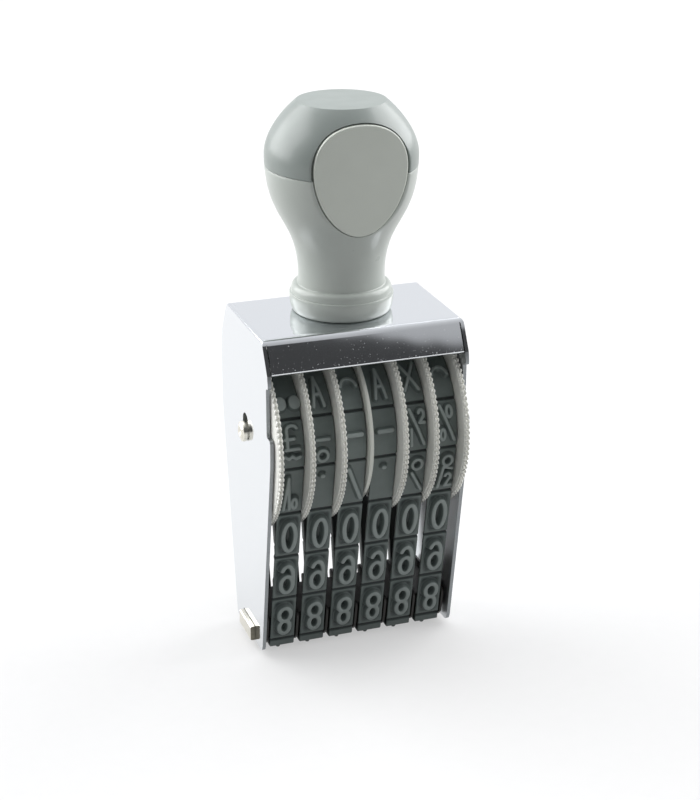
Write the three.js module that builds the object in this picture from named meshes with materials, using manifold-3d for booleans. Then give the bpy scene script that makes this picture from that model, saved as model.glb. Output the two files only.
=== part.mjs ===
import * as THREE from 'three';
import { mergeVertices } from 'three/addons/utils/BufferGeometryUtils.js';
import Module from 'manifold-3d';

const wasm = await Module();
wasm.setup();

// Six-band numbering machine, in millimetres, +Z up, front towards -Y.
// The origin is under the middle of the housing, on the plane of the printing faces.

// Wheel stack, from the centre disc outwards to each side
const wheelsPerSide = 3;
const discThickness = 0.95;
const discRadius = 16.6;
const flangeThickness = 1;
const hubWidth = 5;
const sideClearance = 0.2;
const wheelEndPlay = 0.225;
const wheelPitch = sideClearance + hubWidth + flangeThickness;
const stackHalf = discThickness / 2 + wheelsPerSide * wheelPitch;

// Thumb wheels
const wheelRadius = 19.05;
const hubRadius = 13.8;
const toothPitch = 1.12;
const toothDepth = 0.45;
const axleRadius = 1.6;
const boreClearance = 0.2;
const teethPerHalfWheel = Math.round(Math.PI * wheelRadius / toothPitch);

// Printing bands, drawn from a line that runs between the tiles and the tops of the type
const cellsPerBand = 15;
const bandThickness = 1.5;
const tileDrop = 0.5;
const bandOnHub = 0.3;
const bandOnPlaten = 0.2;
const bandSideGap = 0.2;
const printingFlatHalf = 6.1;
const bandCornerRadius = 1.8;
const grooveWidth = 0.6;
const grooveDepth = 0.45;
const firstGrooveRise = 1.2;
const typeHeight = 1;
const typeFaceWidth = 3.4;
const typeCellMargin = 1.5;
const typeShoulder = 0.45;
const typeRoot = 0.3;
const bandWidth = sideClearance + hubWidth - 2 * bandSideGap;

// Housing, one folded sheet, measured up from the feet of its side plates
const sheet = 0.7;
const feetRise = 1.1;
const axleAboveFeet = 44.2;
const wheelHeadroom = 2.75;
const thumbReach = 3.05;
const footMargin = 0.7;
const footCorner = 1;
const bellyBelowAxle = 0.4;
const bellyEase = 2;
const shoulderHalf = 11.6;
const apronFlare = 3.2;
const apronDrop = 5.9;
const apronSlit = 0.25;
const lipFlare = 0.3;
const foldRadius = 1.2;
const notchDepth = 2.1;
const notchAboveAxle = 3.4;
const notchBelowApron = 1.8;
const notchEase = 1.6;
const slotTravel = 1.9;
const slotClearance = 0.2;

// Axle ends, riveted over outside the side plates
const axleStandOut = 1.3;
const rivetRadius = 2;
const rivetThickness = 0.75;
const rivetGap = 0.2;

// Platen, the bar that backs the bands
const platenBodyHeight = 4.5;
const tenonHalf = 3.9;
const tenonHeight = 3.1;
const tenonDrop = 1.4;
const tenonStandOut = 1;
const tenonChamfer = 0.2;
const platenSideGap = 0.3;

// Dividers, thin sheets seated in grooves across the platen
const dividerThickness = 0.5;
const dividerRise = 8.5;
const dividerInset = 0.9;
const dividerFootGap = 0.35;
const dividerCorner = 1.2;
const seatGap = 0.2;
const seatDepth = 1.2;

// Handle, set back from the middle of the housing, heights measured up from its top
const handleSetBack = 1.2;
const handleFootRadius = 8.9;
const beadRadius = 10.1;
const beadHeight = 3.5;
const beadStep = 0.3;
const collarRadius = 8.6;
const collarHeight = 6.4;
const neckRadius = 8.2;
const neckHeight = 9.35;
const neckRun = 5.7;
const bulbRadius = 14.45;
const bulbHeight = 30.5;
const bulbRun = 10.25;
const crownRun = 5.05;
const crownWidth = 3.35;
const crownDrop = 2;
const crownDiscRadius = 8.45;
const handleHeight = 40.6;
const capSeamHeight = 28.5;
const spigotRadius = 8.4;
const spigotHeight = 3;
const spigotClearance = 0.3;

// Badge plate, let into the front of the handle
const facetDepth = 10.8;
const badgeRecess = 1;
const badgeProud = 0.35;
const badgeGap = 0.25;
const badgeHalfWidth = 9.1;
const badgeWidestHeight = 30;
const badgeTopHeight = 38.2;
const badgeFootHeight = 17.3;
const badgeRoundShare = 0.62;
const badgeTaperShare = 0.5;

// Handle screw and its washer, under the top plate
const screwRadius = 1.9;
const screwHoleClearance = 0.3;
const screwDepth = 14;
const screwHeadRadius = 3.8;
const screwHeadHeight = 2;
const screwHeadCorner = 0.6;
const washerRadius = 4.6;
const washerThickness = 0.5;

// Round stretches are cut into this many straight facets
const hubFacets = 24;
const discFacets = 36;
const boreFacets = 12;
const wheelArcFacets = 12;
const cornerFacets = 2;
const curveFacets = 4;
const bulbRings = 6;
const crownRings = 5;
const handleFacets = 24;
const cutOverrun = 2;

// Places that follow from the sizes
const axleHeight = feetRise + axleAboveFeet;
const plateHeight = axleAboveFeet + wheelRadius + wheelHeadroom + sheet;
const housingTop = feetRise + plateHeight;
const innerHalf = stackHalf + wheelEndPlay;
const housingHalf = innerHalf + sheet;
const bellyHalf = wheelRadius - thumbReach;
const footHalf = printingFlatHalf + bandCornerRadius + footMargin;
const flareHalf = shoulderHalf + apronFlare;
const flareHeight = plateHeight - apronDrop;
const bandArcRadius = hubRadius + bandOnHub + bandThickness;
const platenBottom = typeHeight + bandThickness + bandOnPlaten;
const platenCorner = bandCornerRadius - bandThickness - bandOnPlaten;
const platenBodyHalf = printingFlatHalf + platenCorner;
const dividerSlotHalf = platenBodyHalf - seatDepth;
const boreRadius = axleRadius + boreClearance;
const screwHoleRadius = screwRadius + screwHoleClearance;

// Finishes
const chrome = new THREE.MeshStandardMaterial({ color: 0xe6e9ee, metalness: 1, roughness: 0.12 });
const nickel = new THREE.MeshStandardMaterial({ color: 0xb9b5a6, metalness: 1, roughness: 0.3 });
const blackSheet = new THREE.MeshStandardMaterial({ color: 0x17191a, metalness: 0, roughness: 0.6 });
const ivoryPlastic = new THREE.MeshStandardMaterial({ color: 0xe6e4d8, metalness: 0, roughness: 0.4 });
const bandRubber = new THREE.MeshStandardMaterial({ color: 0x56605f, metalness: 0, roughness: 0.7 });
const bodyPlastic = new THREE.MeshStandardMaterial({ color: 0xbcc3be, metalness: 0, roughness: 0.25 });
const capPlastic = new THREE.MeshStandardMaterial({ color: 0x8f9996, metalness: 0, roughness: 0.15 });

// A closed mesh as a solid that can be joined and cut
function solidOf(geometry) {
  const bare = geometry.clone();
  bare.deleteAttribute('normal');
  bare.deleteAttribute('uv');
  const merged = mergeVertices(bare);
  return new wasm.Manifold(new wasm.Mesh({
    numProp: 3,
    vertProperties: new Float32Array(merged.attributes.position.array),
    triVerts: new Uint32Array(merged.index.array),
  }));
}

// A solid back as a mesh for the scene
function geometryOf(solid) {
  const mesh = solid.getMesh();
  const positions = new Float32Array(mesh.vertProperties);
  const geometry = new THREE.BufferGeometry();
  geometry.setAttribute('position', new THREE.BufferAttribute(positions, 3));
  geometry.setIndex(new THREE.BufferAttribute(new Uint32Array(mesh.triVerts), 1));
  geometry.computeVertexNormals();
  return geometry;
}

function namedMesh(name, solid, material, place) {
  const mesh = new THREE.Mesh(geometryOf(solid), material);
  mesh.name = name;
  mesh.position.set(...place);
  return mesh;
}

// A shape drawn in y and z, carried along x from start to end
function alongX(shape, start, end) {
  const settings = { depth: end - start, bevelEnabled: false, curveSegments: curveFacets };
  const geometry = new THREE.ExtrudeGeometry(shape, settings);
  const yAxis = new THREE.Vector3(0, 1, 0);
  const zAxis = new THREE.Vector3(0, 0, 1);
  const basis = new THREE.Matrix4().makeBasis(yAxis, zAxis, new THREE.Vector3(1, 0, 0));
  geometry.applyMatrix4(basis.setPosition(start, 0, 0));
  return solidOf(geometry);
}

// A shape drawn in x and z, carried along y from front to back
function alongY(shape, front, back) {
  const settings = { depth: back - front, bevelEnabled: false, curveSegments: curveFacets };
  const geometry = new THREE.ExtrudeGeometry(shape, settings);
  const xAxis = new THREE.Vector3(1, 0, 0);
  const zAxis = new THREE.Vector3(0, 0, 1);
  const basis = new THREE.Matrix4().makeBasis(xAxis, zAxis, new THREE.Vector3(0, -1, 0));
  geometry.applyMatrix4(basis.setPosition(0, back, 0));
  return solidOf(geometry);
}

function block(low, high) {
  const size = low.map((value, axis) => high[axis] - value);
  const middle = low.map((value, axis) => (high[axis] + value) / 2);
  return solidOf(new THREE.BoxGeometry(...size).translate(...middle));
}

// A round bar along x or z, from start to end
function roundAlongX(radius, start, end, facets) {
  const bar = new THREE.CylinderGeometry(radius, radius, end - start, facets);
  return solidOf(bar.rotateZ(Math.PI / 2).translate((start + end) / 2, 0, 0));
}

function roundAlongZ(radius, start, end, facets, setBack = 0) {
  const bar = new THREE.CylinderGeometry(radius, radius, end - start, facets);
  return solidOf(bar.rotateX(Math.PI / 2).translate(0, setBack, (start + end) / 2));
}

// A profile of radius and height, turned round z
function turned(points, facets) {
  return solidOf(new THREE.LatheGeometry(points, facets).rotateX(Math.PI / 2));
}

function polygon(points) {
  return new THREE.Shape(points.map(([u, v]) => new THREE.Vector2(u, v)));
}

// The band's closed line in y and z: front run, wheel arc, rear run, rear corner, flat, front corner
function bandLine() {
  const cornerHeight = typeHeight + bandCornerRadius;
  const rise = axleHeight - cornerHeight;
  const lean = Math.atan2(rise, printingFlatHalf);
  const span = Math.hypot(rise, printingFlatHalf);
  const tilt = Math.acos((bandArcRadius - bandCornerRadius) / span) - lean;
  const touch = (side, centre, height, radius) => new THREE.Vector2(
    side * (centre + radius * Math.cos(tilt)), height + radius * Math.sin(tilt));
  const frontLow = touch(-1, printingFlatHalf, cornerHeight, bandCornerRadius);
  const frontHigh = touch(-1, 0, axleHeight, bandArcRadius);
  const rearLow = touch(1, printingFlatHalf, cornerHeight, bandCornerRadius);
  const rearHigh = touch(1, 0, axleHeight, bandArcRadius);
  const flatRear = new THREE.Vector2(printingFlatHalf, typeHeight);
  const flatFront = new THREE.Vector2(-printingFlatHalf, typeHeight);
  const quarter = Math.PI / 2;
  return [
    straight(frontLow, frontHigh),
    round(0, axleHeight, bandArcRadius, Math.PI - tilt, tilt, wheelArcFacets),
    straight(rearHigh, rearLow),
    round(printingFlatHalf, cornerHeight, bandCornerRadius, tilt, -quarter, cornerFacets),
    straight(flatRear, flatFront),
    round(-printingFlatHalf, cornerHeight, bandCornerRadius, -quarter, -Math.PI - tilt, cornerFacets),
  ];
}

// One straight or round stretch of the line, which gives a point at a distance and an outward offset
function straight(from, to) {
  const length = from.distanceTo(to);
  const along = to.clone().sub(from).normalize();
  return {
    length,
    steps: [],
    at: (distance, offset) => [
      from.x + along.x * distance - along.y * offset,
      from.y + along.y * distance + along.x * offset],
  };
}

function round(centre, height, radius, startAngle, endAngle, facets) {
  const length = radius * Math.abs(endAngle - startAngle);
  const steps = [];
  for (let index = 0; index <= facets; index += 1) steps.push(length * index / facets);
  return {
    length,
    steps,
    at: (distance, offset) => {
      const angle = startAngle + (endAngle - startAngle) * distance / length;
      return [centre + (radius + offset) * Math.cos(angle), height + (radius + offset) * Math.sin(angle)];
    },
  };
}

const line = bandLine();
const lineLength = line.reduce((total, stretch) => total + stretch.length, 0);
const cellLength = lineLength / cellsPerBand;

// A point of the band's line at any distance, counted round and round
function linePoint(distance, offset) {
  let rest = ((distance % lineLength) + lineLength) % lineLength;
  for (const stretch of line) {
    if (rest <= stretch.length) return stretch.at(rest, offset);
    rest -= stretch.length;
  }
  return line[0].at(0, offset);
}

// The distances at which the line bends
const bends = [];
line.reduce((start, stretch) => {
  stretch.steps.forEach((step) => bends.push(start + step));
  return start + stretch.length;
}, 0);

const grooves = [];
for (let cell = 0; cell < cellsPerBand; cell += 1) grooves.push(firstGrooveRise + cell * cellLength);

// The band's loop, with a groove between each two cells
function bandLoop() {
  const half = grooveWidth / 2;
  const clear = bends.filter((bend) => grooves.every((groove) => Math.abs(bend - groove) > half));
  const stops = clear.map((bend) => [bend, -tileDrop]);
  for (const groove of grooves) {
    stops.push([groove - half, -tileDrop], [groove, -tileDrop - grooveDepth], [groove + half, -tileDrop]);
  }
  stops.sort((one, other) => one[0] - other[0]);
  const loop = polygon(stops.map(([distance, offset]) => linePoint(distance, offset)));
  loop.holes.push(polygon(bends.map((bend) => linePoint(bend, -bandThickness)).reverse()));
  return alongX(loop, -bandWidth / 2, bandWidth / 2);
}

// A raised type block with sloped shoulders, which follows the band's line through one cell
function typeBlock(middle) {
  const faceHalf = (cellLength - typeCellMargin) / 2 - typeShoulder;
  const spread = (faceHalf + typeShoulder) / faceHalf;
  const within = [];
  for (const bend of bends) {
    for (const turn of [-lineLength, 0, lineLength]) {
      const from = bend + turn - middle;
      if (Math.abs(from) < faceHalf - typeShoulder) within.push(from);
    }
  }
  const stations = [-faceHalf, ...within.sort((one, other) => one - other), faceHalf];
  const faceSide = typeFaceWidth / 2;
  const rootSide = faceSide + typeShoulder;
  const corners = [];
  for (const station of stations) {
    const root = linePoint(middle + station * spread, -tileDrop - typeRoot);
    const face = linePoint(middle + station, typeHeight);
    corners.push([-rootSide, ...root], [rootSide, ...root], [faceSide, ...face], [-faceSide, ...face]);
  }
  const ring = 4;
  const triangles = [0, 1, 2, 0, 2, 3];
  const total = ring * stations.length;
  for (let start = ring; start < total; start += ring) {
    for (let side = 0; side < ring; side += 1) {
      const near = start - ring + side;
      const next = start - ring + (side + 1) % ring;
      triangles.push(near, near + ring, next, next, near + ring, next + ring);
    }
  }
  const last = total - ring;
  triangles.push(last, last + 2, last + 1, last, last + 3, last + 2);
  const geometry = new THREE.BufferGeometry();
  geometry.setAttribute('position', new THREE.Float32BufferAttribute(corners.flat(), 3));
  geometry.setIndex(triangles);
  return solidOf(geometry);
}

function numberBand() {
  let band = bandLoop();
  for (const groove of grooves) band = band.add(typeBlock(groove + cellLength / 2));
  return band;
}

// A thumb wheel: a toothed flange and the hub that drives its band
function thumbWheel() {
  const outline = [];
  const toothCount = 2 * teethPerHalfWheel;
  for (let tooth = 0; tooth < toothCount; tooth += 1) {
    const crest = 2 * Math.PI * tooth / toothCount;
    const root = crest + Math.PI / toothCount;
    const rootRadius = wheelRadius - toothDepth;
    outline.push([wheelRadius * Math.cos(crest), wheelRadius * Math.sin(crest)]);
    outline.push([rootRadius * Math.cos(root), rootRadius * Math.sin(root)]);
  }
  const hubEnd = sideClearance + hubWidth;
  const flange = alongX(polygon(outline), hubEnd, wheelPitch);
  const hub = roundAlongX(hubRadius, sideClearance, hubEnd + flangeThickness / 2, hubFacets);
  const bore = roundAlongX(boreRadius, -cutOverrun, wheelPitch + cutOverrun, boreFacets);
  return flange.add(hub).subtract(bore);
}

function centreDisc() {
  const disc = roundAlongX(discRadius, -discThickness / 2, discThickness / 2, discFacets);
  return disc.subtract(roundAlongX(boreRadius, -cutOverrun, cutOverrun, boreFacets));
}

// The axle, with both ends riveted over
function wheelAxle() {
  const end = housingHalf + axleStandOut;
  let axle = roundAlongX(axleRadius, -end, end, boreFacets);
  for (const side of [-1, 1]) {
    const inner = side * (housingHalf + rivetGap);
    const outer = side * (housingHalf + rivetGap + rivetThickness);
    axle = axle.add(roundAlongX(rivetRadius, Math.min(inner, outer), Math.max(inner, outer), boreFacets));
  }
  return axle;
}

// The outline of a side plate in y and z, from its rear foot over the top to its front foot
function plateOutline() {
  const bellyHeight = axleAboveFeet - bellyBelowAxle;
  const taper = new THREE.Vector2(bellyHalf - footHalf, bellyHeight).setLength(bellyEase);
  const shoulderRun = new THREE.Vector2(apronFlare, -apronDrop).setLength(foldRadius);
  const notchLow = axleAboveFeet + notchAboveAxle;
  const notchHigh = flareHeight - notchBelowApron;
  const notchFloor = notchDepth - bellyHalf;
  const lipHalf = flareHalf + lipFlare;
  const bendHalf = shoulderHalf + shoulderRun.x;
  const bendHeight = plateHeight + shoulderRun.y;
  const notchBend = notchHigh - notchEase;
  const outline = new THREE.Shape();
  outline.moveTo(footHalf - footCorner, 0);
  outline.quadraticCurveTo(footHalf, 0, footHalf + taper.x, taper.y);
  outline.lineTo(bellyHalf - taper.x, bellyHeight - taper.y);
  outline.quadraticCurveTo(bellyHalf, bellyHeight, bellyHalf, bellyHeight + bellyEase);
  outline.quadraticCurveTo(bellyHalf, notchHigh, flareHalf, flareHeight);
  outline.lineTo(bendHalf, bendHeight);
  outline.quadraticCurveTo(shoulderHalf, plateHeight, shoulderHalf - foldRadius, plateHeight);
  outline.lineTo(foldRadius - shoulderHalf, plateHeight);
  outline.quadraticCurveTo(-shoulderHalf, plateHeight, -bendHalf, bendHeight);
  outline.lineTo(-flareHalf, flareHeight);
  outline.lineTo(-lipHalf, notchHigh);
  outline.bezierCurveTo(-lipHalf, notchBend, notchFloor, notchHigh, notchFloor, notchBend);
  outline.lineTo(notchFloor, notchLow + notchEase);
  outline.bezierCurveTo(notchFloor, notchLow, -bellyHalf, notchLow + notchEase, -bellyHalf, notchLow);
  outline.lineTo(-bellyHalf, bellyHeight + bellyEase);
  outline.quadraticCurveTo(-bellyHalf, bellyHeight, taper.x - bellyHalf, bellyHeight - taper.y);
  outline.lineTo(-footHalf - taper.x, taper.y);
  outline.quadraticCurveTo(-footHalf, 0, footCorner - footHalf, 0);
  return outline;
}

// The folded section of the housing in x and z: two side plates and the top
function foldedSection() {
  const bottom = -cutOverrun;
  const innerFold = foldRadius - sheet;
  const innerTop = plateHeight - sheet;
  const section = new THREE.Shape();
  section.moveTo(-housingHalf, bottom);
  section.lineTo(-innerHalf, bottom);
  section.lineTo(-innerHalf, innerTop - innerFold);
  section.quadraticCurveTo(-innerHalf, innerTop, innerFold - innerHalf, innerTop);
  section.lineTo(innerHalf - innerFold, innerTop);
  section.quadraticCurveTo(innerHalf, innerTop, innerHalf, innerTop - innerFold);
  section.lineTo(innerHalf, bottom);
  section.lineTo(housingHalf, bottom);
  section.lineTo(housingHalf, plateHeight - foldRadius);
  section.quadraticCurveTo(housingHalf, plateHeight, housingHalf - foldRadius, plateHeight);
  section.lineTo(foldRadius - housingHalf, plateHeight);
  section.quadraticCurveTo(-housingHalf, plateHeight, -housingHalf, plateHeight - foldRadius);
  return section;
}

// An apron folded down from a long edge of the top, clear of the side plates by a slit
function apron(side) {
  const along = new THREE.Vector2(apronFlare, -apronDrop).normalize();
  const inward = new THREE.Vector2(along.y, -along.x).multiplyScalar(sheet);
  const underEdge = flareHeight + inward.y;
  const innerRun = (plateHeight - sheet - underEdge) / -along.y;
  const strip = new THREE.Shape();
  strip.moveTo(side * (shoulderHalf - 2 * foldRadius), plateHeight);
  strip.lineTo(side * (shoulderHalf - foldRadius), plateHeight);
  strip.quadraticCurveTo(side * shoulderHalf, plateHeight,
    side * (shoulderHalf + along.x * foldRadius), plateHeight + along.y * foldRadius);
  strip.lineTo(side * flareHalf, flareHeight);
  strip.lineTo(side * (flareHalf + inward.x), underEdge);
  strip.lineTo(side * (flareHalf + inward.x - along.x * innerRun), plateHeight - sheet);
  strip.lineTo(side * (shoulderHalf - 2 * foldRadius), plateHeight - sheet);
  const half = innerHalf - apronSlit;
  return alongX(strip, -half, half);
}

// A slot for the axle through both side plates, long enough for the axle to float
function axleSlot() {
  const radius = axleRadius + slotClearance;
  const slot = new THREE.Shape();
  slot.absarc(0, axleAboveFeet, radius, Math.PI, 2 * Math.PI);
  slot.absarc(0, axleAboveFeet + slotTravel, radius, 0, Math.PI);
  return alongX(slot, -housingHalf - cutOverrun, housingHalf + cutOverrun);
}

function housing() {
  const reach = bellyHalf + cutOverrun;
  const plates = alongX(plateOutline(), -housingHalf - cutOverrun, housingHalf + cutOverrun);
  const tenonTop = platenBottom - feetRise - tenonDrop + tenonHeight;
  const tenonSide = tenonHalf + slotClearance;
  const tenonNotches = block([-housingHalf - cutOverrun, -tenonSide, -cutOverrun],
    [housingHalf + cutOverrun, tenonSide, tenonTop + slotClearance]);
  const holeLow = plateHeight - sheet - cutOverrun;
  const holeHigh = plateHeight + cutOverrun;
  return alongY(foldedSection(), -reach, reach)
    .intersect(plates)
    .add(apron(-1))
    .add(apron(1))
    .subtract(axleSlot())
    .subtract(tenonNotches)
    .subtract(roundAlongZ(screwHoleRadius, holeLow, holeHigh, boreFacets, handleSetBack));
}

// The platen: a bar with tenons in the notches of the side plates, grooved across for the dividers
function platen(dividerPlaces) {
  const bodyEnd = innerHalf - platenSideGap;
  const tenonEnd = housingHalf + tenonStandOut;
  const tenonTop = tenonHeight - tenonDrop;
  const bar = new THREE.Shape();
  bar.moveTo(tenonChamfer - tenonEnd, -tenonDrop);
  bar.lineTo(-bodyEnd, -tenonDrop);
  bar.lineTo(-bodyEnd, 0);
  bar.lineTo(bodyEnd, 0);
  bar.lineTo(bodyEnd, -tenonDrop);
  bar.lineTo(tenonEnd - tenonChamfer, -tenonDrop);
  bar.lineTo(tenonEnd, tenonChamfer - tenonDrop);
  bar.lineTo(tenonEnd, tenonTop - tenonChamfer);
  bar.lineTo(tenonEnd - tenonChamfer, tenonTop);
  bar.lineTo(tenonChamfer - tenonEnd, tenonTop);
  bar.lineTo(-tenonEnd, tenonTop - tenonChamfer);
  bar.lineTo(-tenonEnd, tenonChamfer - tenonDrop);
  const section = new THREE.Shape();
  section.moveTo(-printingFlatHalf, 0);
  section.lineTo(printingFlatHalf, 0);
  section.quadraticCurveTo(platenBodyHalf, 0, platenBodyHalf, platenCorner);
  section.lineTo(platenBodyHalf, platenBodyHeight);
  section.lineTo(-platenBodyHalf, platenBodyHeight);
  section.lineTo(-platenBodyHalf, platenCorner);
  section.quadraticCurveTo(-platenBodyHalf, 0, -printingFlatHalf, 0);
  let body = alongX(section, -bodyEnd, bodyEnd);
  const grooveHalf = dividerThickness / 2 + seatGap;
  for (const place of dividerPlaces) {
    body = body.subtract(block([place - grooveHalf, -platenBodyHalf - cutOverrun, -cutOverrun],
      [place + grooveHalf, platenBodyHalf + cutOverrun, platenBodyHeight + cutOverrun]));
  }
  const core = block([-bodyEnd, -dividerSlotHalf, 0],
    [bodyEnd, dividerSlotHalf, platenBodyHeight - seatDepth]);
  return body.add(core).add(alongY(bar, -tenonHalf, tenonHalf));
}

// A divider: a forked sheet between two bands, astride the platen
function bandDivider() {
  const foot = typeHeight + dividerFootGap;
  const footEdge = sideOfBandAt(foot + bandCornerRadius);
  const topEdge = sideOfBandAt(dividerRise);
  const slotHalf = dividerSlotHalf + seatGap;
  const slotTop = platenBottom + platenBodyHeight - seatDepth + seatGap;
  const sheetOutline = new THREE.Shape();
  sheetOutline.moveTo(slotHalf, foot);
  sheetOutline.lineTo(footEdge - dividerCorner, foot);
  sheetOutline.lineTo(footEdge, foot + dividerCorner);
  sheetOutline.lineTo(topEdge, dividerRise - dividerCorner);
  sheetOutline.quadraticCurveTo(topEdge, dividerRise, topEdge - dividerCorner, dividerRise);
  sheetOutline.lineTo(dividerCorner - topEdge, dividerRise);
  sheetOutline.quadraticCurveTo(-topEdge, dividerRise, -topEdge, dividerRise - dividerCorner);
  sheetOutline.lineTo(-footEdge, foot + dividerCorner);
  sheetOutline.lineTo(dividerCorner - footEdge, foot);
  sheetOutline.lineTo(-slotHalf, foot);
  sheetOutline.lineTo(-slotHalf, slotTop);
  sheetOutline.lineTo(slotHalf, slotTop);
  return alongX(sheetOutline, -dividerThickness / 2, dividerThickness / 2);
}

// The half depth of the divider at a height, just inside the band's straight front run
function sideOfBandAt(height) {
  const run = line[0];
  const [lowDepth, lowHeight] = run.at(0, -dividerInset);
  const [highDepth, highHeight] = run.at(run.length, -dividerInset);
  const along = (height - lowHeight) / (highHeight - lowHeight);
  return -lowDepth - (highDepth - lowDepth) * along;
}

// The turned outline of the whole handle: foot, bead, neck, bulb and crown
function handleProfile() {
  const foot = new THREE.Path();
  foot.moveTo(0, 0);
  foot.lineTo(handleFootRadius, 0);
  foot.quadraticCurveTo(beadRadius, 0, beadRadius, beadHeight);
  const neck = new THREE.Path();
  neck.moveTo(beadRadius - beadStep, beadHeight + beadStep);
  neck.quadraticCurveTo(beadRadius - beadStep, collarHeight, collarRadius, collarHeight);
  neck.lineTo(neckRadius, neckHeight);
  const bulb = new THREE.Path();
  bulb.moveTo(neckRadius, neckHeight);
  bulb.bezierCurveTo(neckRadius, neckHeight + neckRun,
    bulbRadius, bulbHeight - bulbRun, bulbRadius, bulbHeight);
  const crown = new THREE.Path();
  crown.moveTo(bulbRadius, bulbHeight);
  crown.bezierCurveTo(bulbRadius, bulbHeight + crownRun,
    crownDiscRadius + crownWidth, handleHeight - crownDrop, crownDiscRadius, handleHeight);
  return [
    ...foot.getPoints(curveFacets),
    ...neck.getPoints(curveFacets),
    ...bulb.getPoints(bulbRings).slice(1),
    ...crown.getPoints(crownRings).slice(1),
    new THREE.Vector2(0, handleHeight),
  ];
}

// The egg-shaped outline of the badge in x and z, grown by a margin
function badgeOutline(margin) {
  const half = badgeHalfWidth + margin;
  const top = badgeTopHeight + margin;
  const foot = badgeFootHeight - margin;
  const middle = badgeWidestHeight;
  const roundHeight = middle + (top - middle) * badgeRoundShare;
  const taperHeight = middle - (middle - foot) * badgeTaperShare;
  const roundHalf = half * badgeRoundShare;
  const taperHalf = half * badgeTaperShare;
  const outline = new THREE.Shape();
  outline.moveTo(half, middle);
  outline.bezierCurveTo(half, roundHeight, roundHalf, top, 0, top);
  outline.bezierCurveTo(-roundHalf, top, -half, roundHeight, -half, middle);
  outline.bezierCurveTo(-half, taperHeight, -taperHalf, foot, 0, foot);
  outline.bezierCurveTo(taperHalf, foot, half, taperHeight, half, middle);
  return outline;
}

// The handle's two mouldings, cut from one turned form, with the facet and recess for the badge
function handlePieces() {
  const whole = turned(handleProfile(), handleFacets);
  const reach = bulbRadius + cutOverrun;
  const facet = block([-reach, -reach, 0], [reach, -facetDepth, handleHeight + cutOverrun]);
  const recess = alongY(badgeOutline(badgeGap), -reach, badgeRecess - facetDepth);
  const above = block([-reach, -reach, capSeamHeight], [reach, reach, handleHeight + cutOverrun]);
  const spigotTop = capSeamHeight + spigotHeight;
  const spigot = roundAlongZ(spigotRadius, capSeamHeight - cutOverrun, spigotTop, handleFacets);
  const socket = roundAlongZ(spigotRadius + spigotClearance, capSeamHeight - cutOverrun,
    spigotTop + spigotClearance, handleFacets);
  const pilot = roundAlongZ(screwHoleRadius, -cutOverrun, screwDepth + screwHoleClearance, boreFacets);
  const fronted = whole.subtract(facet).subtract(recess);
  return {
    body: fronted.subtract(above).add(spigot).subtract(pilot),
    cap: fronted.intersect(above).subtract(socket),
    badge: alongY(badgeOutline(0), -facetDepth - badgeProud, badgeRecess - facetDepth),
  };
}

// The screw that holds the handle, its pan head against the washer
function handleScrew() {
  const headTop = -sheet - washerThickness;
  const headFoot = headTop - screwHeadHeight;
  const profile = [
    new THREE.Vector2(0, headFoot),
    new THREE.Vector2(screwHeadRadius - screwHeadCorner, headFoot),
    new THREE.Vector2(screwHeadRadius, headFoot + screwHeadCorner),
    new THREE.Vector2(screwHeadRadius, headTop),
    new THREE.Vector2(screwRadius, headTop),
    new THREE.Vector2(screwRadius, screwDepth),
    new THREE.Vector2(0, screwDepth),
  ];
  return turned(profile, boreFacets);
}

function screwWasher() {
  const underside = -sheet - washerThickness;
  const ring = roundAlongZ(washerRadius, underside, -sheet, handleFacets);
  return ring.subtract(roundAlongZ(screwHoleRadius, underside - cutOverrun, cutOverrun, boreFacets));
}

const machine = new THREE.Group();
machine.add(namedMesh('frame', housing(), chrome, [0, 0, feetRise]));

// The handle and its fixing, on top of the housing
const handle = new THREE.Group();
handle.position.set(0, handleSetBack, housingTop);
const mouldings = handlePieces();
handle.add(namedMesh('handle_body', mouldings.body, bodyPlastic, [0, 0, 0]));
handle.add(namedMesh('handle_cap', mouldings.cap, capPlastic, [0, 0, 0]));
handle.add(namedMesh('handle_badge', mouldings.badge, bodyPlastic, [0, 0, 0]));
handle.add(namedMesh('handle_screw', handleScrew(), nickel, [0, 0, 0]));
handle.add(namedMesh('screw_washer', screwWasher(), nickel, [0, 0, 0]));
machine.add(handle);

// The wheels on their axle, numbered from the left
const wheelWork = new THREE.Group();
wheelWork.position.set(0, 0, axleHeight);
wheelWork.add(namedMesh('wheel_axle', wheelAxle(), nickel, [0, 0, 0]));
wheelWork.add(namedMesh('centre_disc', centreDisc(), ivoryPlastic, [0, 0, 0]));
const wheel = thumbWheel();
const band = numberBand();
const dividerPlaces = [0];
for (const side of [-1, 1]) {
  for (let place = 0; place < wheelsPerSide; place += 1) {
    const inner = discThickness / 2 + place * wheelPitch;
    const number = side < 0 ? wheelsPerSide - place : wheelsPerSide + place + 1;
    const wheelMesh = namedMesh(`thumb_wheel_${number}`, wheel, ivoryPlastic, [side * inner, 0, 0]);
    wheelMesh.rotation.z = side < 0 ? Math.PI : 0;
    wheelWork.add(wheelMesh);
    const bandMiddle = side * (inner + (sideClearance + hubWidth) / 2);
    machine.add(namedMesh(`number_band_${number}`, band, bandRubber, [bandMiddle, 0, 0]));
    dividerPlaces.push(side * (inner + wheelPitch - flangeThickness / 2));
  }
}
machine.add(wheelWork);

// The platen and its dividers, at the printing end
machine.add(namedMesh('platen', platen(dividerPlaces), nickel, [0, 0, platenBottom]));
dividerPlaces.sort((one, other) => one - other);
dividerPlaces.forEach((place, index) => {
  machine.add(namedMesh(`band_divider_${index + 1}`, bandDivider(), blackSheet, [place, 0, 0]));
});

export default machine;
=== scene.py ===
"""Looks of a numbering machine: chromed housing, moulded handle, thumb wheels and six bands of type.

Sizes are in millimetres until a mesh is made. The frame, the finished pieces and the stage are in metres.
"""

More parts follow.
